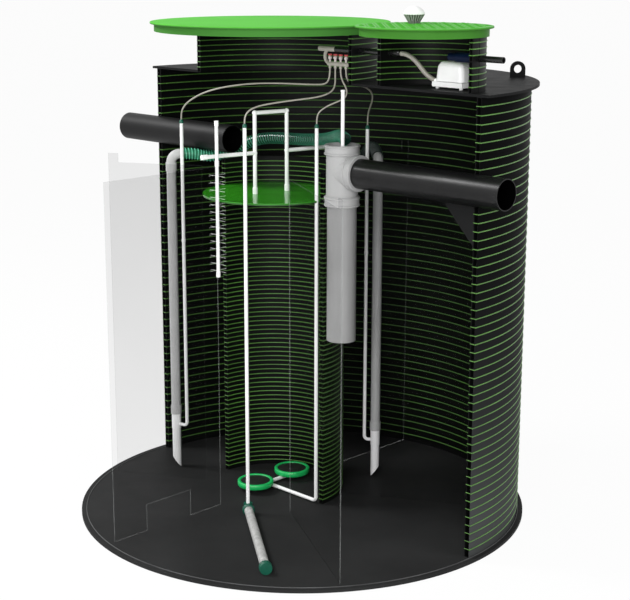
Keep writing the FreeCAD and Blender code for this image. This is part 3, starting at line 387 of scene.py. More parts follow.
class Finish(Graph):
    """Graph of a new material, with its surface and its object coordinates."""
    LOOKS = {"colour": "Base Color", "rough": "Roughness", "shine": "Specular IOR Level", "normal": "Normal"}

    def __init__(self, name):
        self.material = bpy.data.materials.new(f"{name}_finish")
        self.material.use_nodes = True
        super().__init__(self.material.node_tree)
        self.surface = self.tree.nodes["Principled BSDF"]
        self.coords = self.term("ShaderNodeTexCoord", output="Object")

    def give(self, **looks):
        """Set or link the surface's looks, and return the material."""
        for look, value in looks.items():
            self.feed(self.surface.inputs[self.LOOKS[look]], value)
        return self.material

    def noise(self, scale, detail=3.0, coords=None):
        """Noise value at a scale in cycles to the metre."""
        inputs = {"Vector": coords or self.coords, "Scale": scale, "Detail": detail}
        return self.term("ShaderNodeTexNoise", inputs, "Fac")

    def ramp(self, value, start, end, low=0.0, high=1.0):
        """Value that goes from low to high while another goes from start to end."""
        inputs = {"Value": value, "From Min": start, "From Max": end, "To Min": low, "To Max": high}
        return self.term("ShaderNodeMapRange", inputs, "Result")

    def spread(self, value, low=0.0, high=1.0):
        """Noise over its usual reach, spread from low to high."""
        return self.ramp(value, *NOISE_REACH, low, high)

    def clouds(self, scale):
        """Soft clouds from 0 to 1."""
        return self.spread(self.noise(scale))

    def blend(self, share, first, second):
        """Mix of two colours."""
        return self.term("ShaderNodeMix", {0: share, 6: first, 7: second}, 2, data_type="RGBA")

    def mottle(self, share, tint, low, high):
        """A tint between two of its shades."""
        return self.blend(share, shaded(tint, low), shaded(tint, high))

    def peel(self, strength, height):
        """Normal with a bump as deep as an orange peel's."""
        inputs = {"Strength": strength, "Distance": PEEL_DEPTH, "Height": height}
        return self.term("ShaderNodeBump", inputs, "Normal")

    def grain(self, rough, reach, bump):
        """Roughness and bump of a fine grain."""
        fine = self.noise(FINE_GRAIN, 2.0)
        return {"rough": self.spread(fine, rough - reach, rough + reach), "normal": self.peel(bump, fine)}

    def lit_to_shaded(self, clouds, first, second, low, high):
        """Colour of a spiral hose, painted from a lit tint to a shaded one along X."""
        share = self.ramp(self.parts(self.coords)[0], *SPIRAL_SHADE_FADE)
        return self.blend(share, *[self.mottle(clouds, tint, low, high) for tint in (first, second)])

    def see_through(self, tint, share):
        """Clear sheet of a tint, with a share of the surface."""
        clear = self.term("ShaderNodeBsdfTransparent", {"Color": tint})
        solid = Term(self, self.surface.outputs[0])
        mix = self.term("ShaderNodeMixShader", {0: share, 1: clear, 2: solid})
        self.feed(self.tree.nodes["Material Output"].inputs["Surface"], mix)


def shaded(value, factor):
    """A colour made darker or lighter, with its alpha."""
    return (*[min(1.0, part * factor) for part in value], 1.0)


def moulded(name, tint, rough, mottle, cloud, bump=0.05, shine=0.5):
    """Moulded plastic: soft clouds of colour, a fine grain in its roughness and a slight orange-peel bump."""
    look = Finish(name)
    fine = look.noise(FINE_GRAIN, 2.0)
    mixed = fine * 0.5 + look.noise(cloud * 6, 4.0) * 0.5
    return look.give(colour=look.mottle(look.clouds(cloud), tint, 1 - mottle, 1 + mottle),
                     rough=look.spread(mixed, rough - 0.07, rough + 0.07),
                     normal=look.peel(bump, fine), shine=shine)


def wound_wall(tints):
    """Black plastic with faint bands that follow the winding; outside, it is painted paler towards the floor,
    as light from the floor.
    """
    look = Finish("wound_wall")
    x, y, z = look.parts(look.coords)
    outer = look.size(look.vector(x, y, 0.0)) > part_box("tank_wall_1")[1].x - OUTSIDE_DEPTH
    bands = look.term("ShaderNodeMapping", {"Vector": look.coords, "Scale": (0.6, 0.6, 26.0)})
    inside = look.mottle(look.spread(look.noise(1.0, 4.0, bands)), tints.wall, 0.7, 1.4)
    # Painted light: outside, the wall's colour rises to 16 times its own towards the floor, as the floor
    # lights it
    pale = look.math("POWER", look.ramp(z, 0.2, 2.2, 1.0, 0.0), 3.0)
    outside = look.mottle(pale, tints.wall, 0.8, 16.0)
    return look.give(colour=look.blend(outer, inside, outside),
                     rough=look.spread(look.noise(3.0, 3.0, bands), 0.34, 0.50),
                     normal=look.peel(0.06, look.noise(300.0, 2.0)), shine=0.08 - outer * 0.075)


def drain_pipe(name, tint, rough, shine, bore):
    """Black pipe along X, with soft clouds outside, and painted shade and no shine within its bore."""
    look = Finish(name)
    _, y, z = look.parts(look.coords)
    # Within the bore the colour is painted darker, as the shade inside the pipe, and the shine is taken away
    inside = look.size(look.vector(0.0, y, z - middle_of(name))) < bore
    skin = look.mottle(look.clouds(3.0), tint, 0.8, 1.2)
    return look.give(colour=look.blend(inside, skin, shaded(tint, 0.15)), **look.grain(rough, 0.04, 0.03),
                     shine=shine - inside * (shine - 0.04))


def clear_pane(low, high):
    """Clear sheet that dims what is behind it, most near its top, with a trace of gloss and no shadow."""
    look = Finish("clear_pane")
    wisps = (look.noise(1.5) - 0.5) * 0.02
    clearness = look.ramp(look.parts(look.coords)[2], low, high, 0.972, 0.921) + wisps
    shadow = look.term("ShaderNodeLightPath", output="Is Shadow Ray")
    clearness = look.math("MAXIMUM", clearness, shadow)
    tone = look.term("ShaderNodeCombineColor", {0: clearness, 1: clearness, 2: clearness})
    look.see_through(tone, 0.012)
    return look.give(colour=(0.02, 0.02, 0.02, 1.0), rough=0.12)


def pane_edge(tints):
    """Cut edge of a clear sheet: a thin pale line, most of it see-through."""
    look = Finish("pane_edge")
    streaks = look.spread(look.noise(7.0), 0.6, 1.2)
    look.see_through((0.93, 0.94, 0.935, 1.0), 0.14)
    return look.give(colour=look.mottle(streaks, tints.pane_edge, 0.0, 1.0), rough=0.3)


def disc_diffuser(tints, centres, ring_radius, rim_height):
    """Green ring round a dark membrane with fine slits, told apart by the distance from a disc's centre."""
    look = Finish("disc_diffuser")
    x, y, z = look.parts(look.coords)
    reaches = [look.size(look.vector(x - centre[0], y - centre[1], 0.0)) for centre in centres]
    nearest = look.math("MINIMUM", *reaches)
    slits = look.math("SINE", nearest * 1500.0) > 0.55
    rubber = look.mottle(slits, tints.membrane, 1.0, 0.35)
    ring = look.mottle(look.clouds(14.0), tints.diffuser_ring, 0.85, 1.15)
    on_membrane = (nearest < ring_radius) * (z > rim_height)
    return look.give(colour=look.blend(on_membrane, ring, rubber), rough=0.42)


def tube_sleeve(tints):
    """Grey membrane sleeve with rows of fine slits along it."""
    look = Finish("tube_sleeve")
    slits = look.term("ShaderNodeTexVoronoi", {"Vector": look.coords, "Scale": 260.0}, "Distance")
    clouds = look.clouds(30.0)
    sleeve = look.mottle(clouds, tints.sleeve, 0.82, 1.25)
    return look.give(colour=look.blend(slits < 0.28, sleeve, shaded(tints.sleeve, 0.6)),
                     rough=look.spread(clouds, 0.32, 0.5), normal=look.peel(0.3, slits))


def vent_plastic(tints, centre, cap_height):
    """Grey ribs with painted shade in the gaps between them, under a pale cap."""
    look = Finish("vent_plastic")
    x, y, z = look.parts(look.coords)
    turn = look.math("ARCTAN2", y - centre.y, x - centre.x) * (2.0 * VENT_SLOTS)
    clouds = look.clouds(60.0)
    ribs = look.mottle(clouds, tints.vent, 0.85, 1.15)
    # The gaps between the ribs are painted nearly black as the shade within the slots
    slots_in_painted_shade = look.blend(look.math("COSINE", turn) > 0.0, ribs, shaded(tints.vent, 0.08))
    pale = look.mottle(clouds, tints.blower, 0.96, 1.0)
    return look.give(colour=look.blend(z > cap_height, slots_in_painted_shade, pale), rough=0.5)


def clear_hose(tints):
    """Soft wall of a spiral hose: partly clear, painted as lit green before a stretch along X and as dark
    shade beyond it.
    """
    look = Finish("clear_hose")
    look.see_through((0.30, 0.40, 0.36, 1.0), 0.65)
    colour = look.lit_to_shaded(look.clouds(40.0), tints.hose_wall, tints.deep_hose_wall, 0.7, 1.3)
    return look.give(colour=colour, rough=0.16)


def spiral_rib(tints):
    """Green rib of the return hose, painted as lit and pale before a stretch along X and as deep shade beyond
    it.
    """
    look = Finish("green_spiral")
    clouds = look.clouds(20.0)
    return look.give(colour=look.lit_to_shaded(clouds, tints.spiral, tints.deep_spiral, 0.85, 1.15),
                     rough=look.spread(clouds, 0.28, 0.40))


def rimmed(node, tint, rim_shade_tint, rough, shine):
    """Bright green plastic whose rim, below the edge of its flat top, is painted in a deeper tint as shade.
    """
    look = Finish(node)
    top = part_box(node)[1].z
    share = look.ramp(look.parts(look.coords)[2], *[top - depth for depth in RIM_SHADE_FADE])
    clouds = look.clouds(1.8)
    bright = look.mottle(clouds, tint, 0.95, 1.05)
    # Painted shade: the rim takes the deeper tint, the flat top the bright one
    rim_in_shade = look.mottle(clouds, rim_shade_tint, 0.92, 1.08)
    return look.give(colour=look.blend(share, rim_in_shade, bright), **look.grain(rough, 0.05, 0.06), shine=shine)


def middle_of(node):
    """Height of a node's middle."""
    low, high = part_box(node)
    return (low.z + high.z) / 2


def new_finish(name):
    """A finish that is made by name."""
    tints = bpy.context.scene.plant_colours
    bore = bpy.context.scene.plant_sizes.bore
    if name in MOULDED:
        tint, *looks = MOULDED[name]
        return moulded(name, getattr(tints, tint), *looks)
    makers = {
        "large_lid": lambda: rimmed(name, tints.lid, tints.lid_rim_shade, 0.5, 0.01),
        "small_lid": lambda: rimmed(name, tints.small_lid, tints.small_lid_rim_shade, 0.36, 0.02),
        "column_cover": lambda: rimmed(name, tints.cover, tints.cover_rim_shade, 0.16, 0.5),
        "inlet_pipe": lambda: drain_pipe(name, tints.black_pipe, 0.48, 0.16, bore),
        "outlet_pipe": lambda: drain_pipe(name, tints.black_pipe, 0.30, 0.26, bore),
        "pane_edge": lambda: pane_edge(tints),
        "green_spiral": lambda: spiral_rib(tints),
        "wound_wall": lambda: wound_wall(tints),
        "tube_sleeve": lambda: tube_sleeve(tints),
        "clear_hose": lambda: clear_hose(tints),
    }
    return makers[name]()


def finish(name):
    """A finish by name, made on first use."""
    if name not in FINISHES:
        FINISHES[name] = new_finish(name)
    return FINISHES[name]


def dress(material, *nodes):
    """Give CAD nodes a finish."""
    for node in nodes:
        for place in NODES[node].material_slots:
            place.material = material


def settle(piece, slot, node=None):
    """A finished piece rides on the plant and may stand in for a CAD node; the slot is not used."""
    if node:
        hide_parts(node)
    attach(piece, BODY)


def plain_object(name, data):
    """Object in the scene for a mesh, curve, lamp or camera."""
    piece = bpy.data.objects.new(name, data)
    bpy.context.scene.collection.objects.link(piece)
    return piece


def mesh_from(name, shape, *materials):
    """Mesh from a finished bmesh, with its materials."""
    mesh = bpy.data.meshes.new(name)
    shape.to_mesh(mesh)
    shape.free()
    for material in materials:
        mesh.materials.append(material)
    return mesh


def new_tree(name, sockets):
    """Empty geometry tree with named inputs: its graph, the terms of its inputs and its output."""
    tree = bpy.data.node_groups.new(name, "GeometryNodeTree")
    for label, kind in sockets:
        tree.interface.new_socket(label, in_out="INPUT", socket_type=f"NodeSocket{kind}")
    tree.interface.new_socket("Geometry", in_out="OUTPUT", socket_type="NodeSocketGeometry")
    graph = Graph(tree)
    source = {socket.name: Term(graph, socket) for socket in graph.add("NodeGroupInput").outputs}
    return graph, source, graph.add("NodeGroupOutput").inputs["Geometry"]


def close_tree(graph, source, sink, geometry):
    """End a tree with smooth shading, real instances and the finish that it was given."""
    smooth = graph.term("GeometryNodeSetShadeSmooth", {"Geometry": geometry})
    real = graph.term("GeometryNodeRealizeInstances", {"Geometry": smooth})
    graph.feed(sink, graph.term("GeometryNodeSetMaterial", {"Geometry": real, "Material": source["Finish"]}))


def grown(name, tree, values, carrier=None):
    """Plain mesh object that a geometry tree makes from its named inputs."""
    carrier = carrier or plain_object(f"{name}_carrier", bpy.data.meshes.new(f"{name}_carrier"))
    modifier = carrier.modifiers.new("Grow", "NODES")
    modifier.node_group = tree
    for item in tree.interface.items_tree:
        if item.item_type == "SOCKET" and item.in_out == "INPUT" and item.name in values:
            modifier[item.identifier] = values[item.name]
    evaluated = carrier.evaluated_get(bpy.context.evaluated_depsgraph_get())
    mesh = bpy.data.meshes.new_from_object(evaluated)
    mesh.name = name
    carrier.modifiers.remove(modifier)
    bpy.data.objects.remove(carrier)
    return plain_object(name, mesh)


def seam_tree():
    """Seams of a wound half-round wall: rings outside and inside, and ticks across its two cut faces."""
    labels = ("Centre", "Outer radius", "Inner radius", "Low", "Pitch", "Right hole", "Left hole",
              "Hole radius", "Hole aside", "Bead", "Tick")
    sockets = [(label, "Float") for label in labels]
    sockets += [("Rows", "Int"), ("Arc points", "Int"), ("Finish", "Material")]
    graph, source, sink = new_tree("Wound seams", sockets)
    centre, outer, inner, low, pitch, right, left, hole_radius, hole_aside, bead_radius, tick_radius = (
        source[label] for label in labels)
    rows = source["Rows"]
    arc_points = source["Arc points"]
    index = graph.term("GeometryNodeInputIndex")

    def split(count, size):
        whole = graph.math("FLOOR", (count + 0.5) / size)
        return whole, count - whole * size

    def height(row):
        return low + pitch * (row + 1.0)

    def gap(level, hole, radius):
        drop = level - hole
        square = hole_radius * hole_radius - drop * drop
        half = graph.math("SQRT", graph.math("MAXIMUM", square, 0.0))
        return graph.math("ARCSINE", (half + hole_aside * (square > 0.0)) / radius)

    def points_at(count, x, y, z):
        return graph.term("GeometryNodePoints", {"Count": count, "Position": graph.vector(x, y, z)})

    def curves_of(points, group):
        return graph.term("GeometryNodePointsToCurves", {0: points, 1: group})

    def rings(radius):
        row, place = split(index, arc_points)
        level = height(row)
        start = gap(level, right, radius)
        end = math.pi - gap(level, left, radius)
        angle = start + place / (arc_points - 1.0) * (end - start)
        x = centre + radius * graph.math("COSINE", angle)
        return curves_of(points_at(rows * arc_points, x, radius * graph.math("SINE", angle), level), row)

    def ticks():
        pair, is_outer = split(index, 2.0)
        row, is_left = split(pair, 2.0)
        reach = inner + is_outer * (outer - inner)
        level = height(row)
        points = points_at(rows * 4.0, centre + (1.0 - is_left * 2.0) * reach, 0.0, level)
        hole = right + is_left * (left - right)
        inside = graph.math("ABSOLUTE", level - hole) < hole_radius
        kept = graph.term("GeometryNodeDeleteGeometry", {"Geometry": points, "Selection": inside})
        return curves_of(kept, pair)

    beads = graph.add("GeometryNodeJoinGeometry")
    for curves, radius in ((rings(outer), bead_radius), (rings(inner), bead_radius), (ticks(), tick_radius)):
        graph.feed(beads.inputs[0], graph.tube(curves, sides=5, radius=radius))
    close_tree(graph, source, sink, Term(graph, beads.outputs[0]))
    return graph.tree


def tread_tree():
    """Raised lens-shaped marks over a round plate, each turned across its neighbours."""
    graph, source, sink = new_tree("Tread marks", [
        ("Centre", "Vector"), ("Radius", "Float"), ("Pitch", "Float"), ("Mark", "Vector"),
        ("Finish", "Material")])
    pitch = source["Pitch"]
    steps = graph.math("ROUND", source["Radius"] * 2.0 / pitch)
    span = steps * pitch
    across = steps + 1.0
    grid = graph.term("GeometryNodeMeshGrid", {"Size X": span, "Size Y": span, "Vertices X": across,
                                               "Vertices Y": across})
    spot = graph.term("GeometryNodeInputPosition")
    outside = graph.size(spot) > source["Radius"]
    round_grid = graph.term("GeometryNodeDeleteGeometry", {"Geometry": grid, "Selection": outside})
    column, row = [graph.math("ROUND", (place + span * 0.5) / pitch) for place in graph.parts(spot)[:2]]
    angle = math.pi / 4 + graph.math("MODULO", column + row, 2.0) * (math.pi / 2)
    turn = graph.term("FunctionNodeAxisAngleToRotation", {"Axis": (0.0, 0.0, 1.0), "Angle": angle})
    lens = graph.term("GeometryNodeMeshIcoSphere", {"Radius": 0.5, "Subdivisions": 2})
    marks = graph.term("GeometryNodeInstanceOnPoints", {
        "Points": round_grid, "Instance": lens, "Rotation": turn, "Scale": source["Mark"]})
    placed = graph.term("GeometryNodeTransform", {"Geometry": marks, "Translation": source["Centre"]})
    close_tree(graph, source, sink, placed)
    return graph.tree


def spiral_tree():
    """Rib that winds round a hose's line."""
    graph, source, sink = new_tree("Hose spiral", [
        ("Geometry", "Geometry"), ("Radius", "Float"), ("Turn", "Float"), ("Rib", "Float"), ("Points", "Int"),
        ("Finish", "Material")])
    line = graph.term("GeometryNodeResampleCurve", {"Curve": source["Geometry"], "Count": source["Points"]})
    along = graph.term("GeometryNodeSplineParameter", output="Length")
    angle = along / source["Turn"] * (2 * math.pi)
    normal = graph.term("GeometryNodeInputNormal")
    tangent = graph.term("GeometryNodeInputTangent")
    side = graph.term("ShaderNodeVectorMath", {0: tangent, 1: normal}, operation="CROSS_PRODUCT")
    ways = []
    for direction, wave in ((normal, "COSINE"), (side, "SINE")):
        reach = graph.math(wave, angle) * source["Radius"]
        ways.append(graph.term("ShaderNodeVectorMath", {0: direction, "Scale": reach}, operation="SCALE"))
    offset = graph.term("ShaderNodeVectorMath", {0: ways[0], 1: ways[1]}, operation="ADD")
    wound = graph.term("GeometryNodeSetPosition", {"Geometry": line, "Offset": offset})
    close_tree(graph, source, sink, graph.tube(wound, sides=6, radius=source["Rib"]))
    return graph.tree


def turned_rings(name, rings, material, sides):
    """One mesh of rings, each a closed outline of (radius, along) points turned round an axis."""
    shape = bmesh.new()
    for centre, axis, outline in rings:
        axis = Vector(axis).normalized()
        across = axis.orthogonal().normalized()
        upward = axis.cross(across)
        loops = []
        for side in range(sides):
            angle = 2 * math.pi * side / sides
            out = across * math.cos(angle) + upward * math.sin(angle)
            loops.append([shape.verts.new(Vector(centre) + axis * along + out * radius)
                          for radius, along in outline])
        for here, after in zip(loops, loops[1:] + loops[:1]):
            for first in range(len(outline)):
                second = (first + 1) % len(outline)
                shape.faces.new((here[first], here[second], after[second], after[first]))
    bmesh.ops.recalc_face_normals(shape, faces=shape.faces)
    mesh = mesh_from(name, shape, material)
    mesh.polygons.foreach_set("use_smooth", [True] * len(mesh.polygons))
    return plain_object(name, mesh)


def bead(radius, width, height, sink=0.001):
    """Outline of a half-round bead on a round surface."""
    half = width / 2
    return [(radius - sink, -half), (radius + 0.7 * height, -0.7 * half), (radius + height, 0.0),
            (radius + 0.7 * height, 0.7 * half), (radius - sink, half)]


def band(radius, width, depth=0.003, ease=0.001):
    """Outline of a plain band round a pipe, with its two edges eased."""
    half = width / 2
    upper = [(radius - depth, half), (radius - ease, half), (radius, half - ease), (radius, half - 3 * ease)]
    return [(reach, -along) for reach, along in upper] + upper[::-1]


def slim_copy(node, material, slot, moved):
    """Copy of a CAD node, each corner moved by a function, that stands in for the node."""
    mesh = NODES[node].data.copy()
    mesh.name = f"{node}_slim"
    for vertex in mesh.vertices:
        vertex.co = moved(vertex.co)
    mesh.materials.clear()
    mesh.materials.append(material)
    settle(plain_object(mesh.name, mesh), slot, node)


class PLANT_OT_walls(bpy.types.Operator):
    """Dress the wound walls, the inner column and the necks, and lay their green seams"""
    bl_idname = "plant.walls"
    bl_label = "Wound walls"

    def execute(self, context):
        sizes = context.scene.plant_sizes
        walls = [name for name in NODES if name.startswith(("tank_wall", "column_wall"))]
        dress(finish("wound_wall"), *walls, "large_neck", "small_neck")
        tree = seam_tree()
        inlet = middle_of("inlet_pipe")
        outlet = middle_of("outlet_pipe")
        tank_low, tank_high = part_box("tank_wall_1")
        column_low, column_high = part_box("column_wall_1")
        column_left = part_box("column_wall_3")[0].x
        centre = (column_left + column_high.x) / 2
        column_inner = (column_low.x - centre) / math.cos(COLUMN_SEGMENT)
        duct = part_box("cable_duct")
        duct_z = middle_of("cable_duct")
        duct_y = (duct[0].y + duct[1].y) / 2
        rows = [("tank_seams", 0.0, tank_high.x, tank_low.x / math.cos(TANK_SEGMENT), "tank_wall_1",
                 sizes.tank_pitch, (outlet, inlet, sizes.sleeve_hole, 0.0)),
                ("column_seams", centre, column_high.x - centre, column_inner, "column_wall_1",
                 sizes.column_pitch, (NO_HOLE, NO_HOLE, 0.0, 0.0))]
        for node, wall, left_hole in (("large_neck", sizes.large_neck_wall, NO_HOLE),
                                      ("small_neck", sizes.small_neck_wall, duct_z)):
            low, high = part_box(node)
            outer = (high.x - low.x) / 2
            rows.append((f"{node}_seams", (low.x + high.x) / 2, outer, outer - wall, node, sizes.neck_pitch,
                         (duct_z, left_hole, sizes.duct_hole, duct_y)))
        for name, middle, outer, inner, node, pitch, hole in rows:
            low, high = (corner.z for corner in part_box(node))
            count = round((high - low) / pitch)
            seams = grown(name, tree, {
                "Centre": middle, "Outer radius": outer, "Inner radius": inner, "Low": low,
                "Pitch": (high - low) / count, "Rows": count - 1, "Arc points": sizes.arc_points,
                "Right hole": hole[0], "Left hole": hole[1], "Hole radius": hole[2], "Hole aside": hole[3],
                "Bead": sizes.seam_bead, "Tick": sizes.seam_tick, "Finish": finish("wound_seam")})
            settle(seams, "green_fitting")
        return {"FINISHED"}


class PLANT_OT_plates(bpy.types.Operator):
    """Dress the base, the roof plate, the lifting eyes and the gusset, and lay the weld round the base, paler
    as a painted highlight
    """
    bl_idname = "plant.plates"
    bl_label = "Base and roof plates"

    def execute(self, context):
        dress(finish("base_plate"), "base_plate")
        dress(finish("dark_plate"), "top_plate", "lifting_eyes", "outlet_gusset")
        weld_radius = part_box("tank_wall_1")[1].x + WELD_FROM_WALL
        ring = ((0, 0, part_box("base_plate")[1].z), UP, bead(weld_radius, *WELD_BEAD))
        # The weld's paler finish is a painted highlight
        settle(turned_rings("base_weld", [ring], finish("base_weld"), sides=160), "dark_plate")
        return {"FINISHED"}


class PLANT_OT_lids(bpy.types.Operator):
    """Dress the lids and the vent, and raise the tread marks of the small lid"""
    bl_idname = "plant.lids"
    bl_label = "Lids and vent"

    def execute(self, context):
        sizes = context.scene.plant_sizes
        for lid in ("large_lid", "small_lid"):
            dress(finish(lid), lid)
        low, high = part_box("small_lid")
        middle = (low + high) / 2
        marks = grown("lid_tread", tread_tree(), {
            "Centre": (middle.x, middle.y, high.z), "Radius": (high.x - low.x) / 2 - TREAD_MARGIN,
            "Pitch": sizes.tread_pitch, "Mark": TREAD_MARK, "Finish": finish("small_lid")})
        settle(marks, "green_lid")
        low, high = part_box("vent_cowl")
        dress(vent_plastic(context.scene.plant_colours, (low + high) / 2, high.z - VENT_CAP), "vent_cowl")
        return {"FINISHED"}


class PLANT_OT_drains(bpy.types.Operator):
    """Dress the drain pipes and the tee, and add the beads on the tee's sockets"""
    bl_idname = "plant.drains"
    bl_label = "Drain pipes and tee"

    def execute(self, context):
        for pipe in ("inlet_pipe", "outlet_pipe"):
            dress(finish(pipe), pipe)
        dress(finish("black_pipe"), "cable_duct")
        dress(finish("tee_grey"), "outlet_tee")
        dress(finish("grey_pipe"), "drop_pipe")
        low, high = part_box("outlet_tee")
        radius = -low.y
        axis_x = low.x + radius
        mouths = (((axis_x, 0, high.z), (0, 0, -1), TOP_BEADS), ((axis_x, 0, low.z), UP, SOCKET_BEADS),
                  ((high.x, 0, middle_of("outlet_pipe")), (-1, 0, 0), SOCKET_BEADS))
        rings = []
        for mouth, inward, insets in mouths:
            axis = [abs(part) for part in inward]
            outlines = [(inset, bead(radius, *SOCKET_BEAD)) for inset in insets]
            outlines.append((BAND_MIDDLE, band(radius + BAND_PROUD, BAND_WIDTH)))
            for inset, outline in outlines:
                rings.append((Vector(mouth) + Vector(inward) * inset, axis, outline))
        settle(turned_rings("tee_beads", rings, finish("tee_grey"), sides=64), "grey_pipe")
        return {"FINISHED"}


class PLANT_OT_airlifts(bpy.types.Operator):
    """Dress the airlifts, the air pipes and their fittings"""
    bl_idname = "plant.airlifts"
    bl_label = "Airlifts and air pipes"

    def execute(self, context):
        dress(finish("riser_grey"), "airlift_risers")
        dress(finish("white_pipe"), "air_pipes", "tee_air_pipe", "diffuser_feed")
        sizes = context.scene.plant_sizes
        share = sizes.lift_foot / LIFT_RADIUS

        def half_turned(place):
            x, y = min(LIFTS, key=lambda lift: math.dist(lift, place.xy))
            return Vector((x - (place.x - x) * share, y - (place.y - y) * share, place.z))

        slim_copy("airlift_feet", finish("white_pipe"), "white_pipe", half_turned)
        half = sizes.foot_collar / 2
        rings = [((*lift, top - half), UP, band(LIFT_RADIUS, sizes.foot_collar, FOOT_COLLAR_DEPTH))
                 for lift, top in zip(LIFTS, LIFT_TOPS)]
        settle(turned_rings("foot_collars", rings, finish("white_pipe"), sides=48), "white_pipe")
        dress(finish("green_fitting"), "air_fittings", "diffuser_ends")
        return {"FINISHED"}


class PLANT_OT_diffusers(bpy.types.Operator):
    """Dress the diffusers, with the skirts of the discs and the collars of the tube"""
    bl_idname = "plant.diffusers"
    bl_label = "Diffusers"

    def execute(self, context):
        tints = context.scene.plant_colours
        sizes = context.scene.plant_sizes
        low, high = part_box("disc_diffusers")
        radius = (high.x - low.x) / 2
        centres = [((low.x + high.x) / 2, low.y + radius), ((low.x + high.x) / 2, high.y - radius)]
        rim = high.z - DISC_RIM
        dress(disc_diffuser(tints, centres, radius - RING_WIDTH, rim - MEMBRANE_DROP), "disc_diffusers")
        skirt = [(radius + out, along) for out, along in SKIRT]
        rings = [((x, y, rim), UP, skirt) for x, y in centres]
        settle(turned_rings("disc_skirts", rings, finish("diffuser_ring"), sides=72), "green_fitting")
        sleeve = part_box("tube_diffuser")
        start = Vector((*TUBE_LINE[0], middle_of("tube_diffuser")))
        along = Vector((*TUBE_LINE[1], start.z)) - start
        axis = along.normalized()
        share = sizes.sleeve / ((sleeve[1].z - sleeve[0].z) / 2)

        def thinner(place):
            foot = start + axis * (place - start).dot(axis)
            return foot + (place - foot) * share

        slim_copy("tube_diffuser", finish("tube_sleeve"), "grey_membrane", thinner)
        collar = [(share * sizes.tube_collar, step) for share, step in COLLAR]
        ends = [(start + axis * COLLAR_INSETS[0], axis, collar),
                (start + along - axis * COLLAR_INSETS[1], axis, collar)]
        settle(turned_rings("tube_collars", ends, finish("green_fitting"), sides=48), "green_fitting")
        return {"FINISHED"}


class PLANT_OT_pipework(bpy.types.Operator):
    """Dress the siphon and the cover under it, and draw the pegged pipe with its thin pegs"""
    bl_idname = "plant.pipework"
    bl_label = "White pipework"

    def execute(self, context):
        sizes = context.scene.plant_sizes
        dress(finish("white_pipe"), "siphon_pipe")
        dress(finish("column_cover"), "column_cover")
        low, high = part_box("pegged_pipe")
        middle = (low + high) / 2
        slim = sizes.peg / PEG_RADIUS

        def thinner(place):
            if not PEG_SPAN[0] < place.z < PEG_SPAN[1]:
                return place
            moved = place.copy()
            along = 0 if abs(place.x - middle.x) > abs(place.y - middle.y) else 1
            across = 1 - along
            first = PEG_FIRST[along]
            level = first + round((place.z - first) / sizes.peg_pitch) * sizes.peg_pitch
            moved.z = level + (place.z - level) * slim
            moved[across] = middle[across] + (place[across] - middle[across]) * slim
            return moved

        slim_copy("pegged_pipe", finish("white_pipe"), "white_pipe", thinner)
        return {"FINISHED"}


class PLANT_OT_partitions(bpy.types.Operator):
    """Make the clear partitions, with the pale edges that show where the sheet itself doesn't"""
    bl_idname = "plant.partitions"
    bl_label = "Clear partitions"

    def execute(self, context):
        shape = bmesh.new()
        shape.from_mesh(NODES["partition_panels"].data)
        bmesh.ops.remove_doubles(shape, verts=shape.verts, dist=1e-5)
        for face in shape.faces:
            longest = max(edge.calc_length() for edge in face.edges)
            narrow = 2 * face.calc_area() / longest < EDGE_WIDTH
            face.material_index = 1 if narrow else 0
        low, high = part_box("partition_panels")
        mesh = mesh_from("clear_partitions", shape, clear_pane(low.z, high.z), finish("pane_edge"))
        settle(plain_object(mesh.name, mesh), "clear_panel", "partition_panels")
        return {"FINISHED"}


class PLANT_OT_air_supply(bpy.types.Operator):
    """Dress the blower, the plug, the manifold, its valves and their handles"""
    bl_idname = "plant.air_supply"
    bl_label = "Air supply"

    def execute(self, context):
        low, high = BLOWER_COVER

        def tapered(place):
            share = max(0.0, (place.z - low) / (high - low))
            width = 1.0 - BLOWER_TAPER * share * share
            moved = [middle + (side - middle) * width for side, middle in zip(place, BLOWER_MIDDLE)]
            return Vector((*moved, place.z))

        slim_copy("blower", finish("white_housing"), "white_housing", tapered)
        dress(finish("valve_body"), "valve_bodies")
        dress(finish("blue_plug"), "power_plug")
        dress(finish("pale_manifold"), "air_manifold")
        dress(finish("red_handle"), *[name for name in NODES if name.startswith("valve_handle")])
        return {"FINISHED"}


def hose_line(name, points, radius, material):
    """Smooth round hose along its route, or its bare line where the radius is 0."""
    curve = bpy.data.curves.new(name, "CURVE")
    curve.dimensions = "3D"
    spline = curve.splines.new("NURBS")
    spline.points.add(len(points) - 1)
    for point, place in zip(spline.points, points):
        point.co = (*place, 1.0)
    spline.order_u = 3
    spline.use_endpoint_u = True
    curve.resolution_u = 10
    curve.bevel_depth = radius
    curve.bevel_resolution = 4
    curve.use_fill_caps = radius > 0
    curve.materials.append(material)
    return plain_object(name, curve)


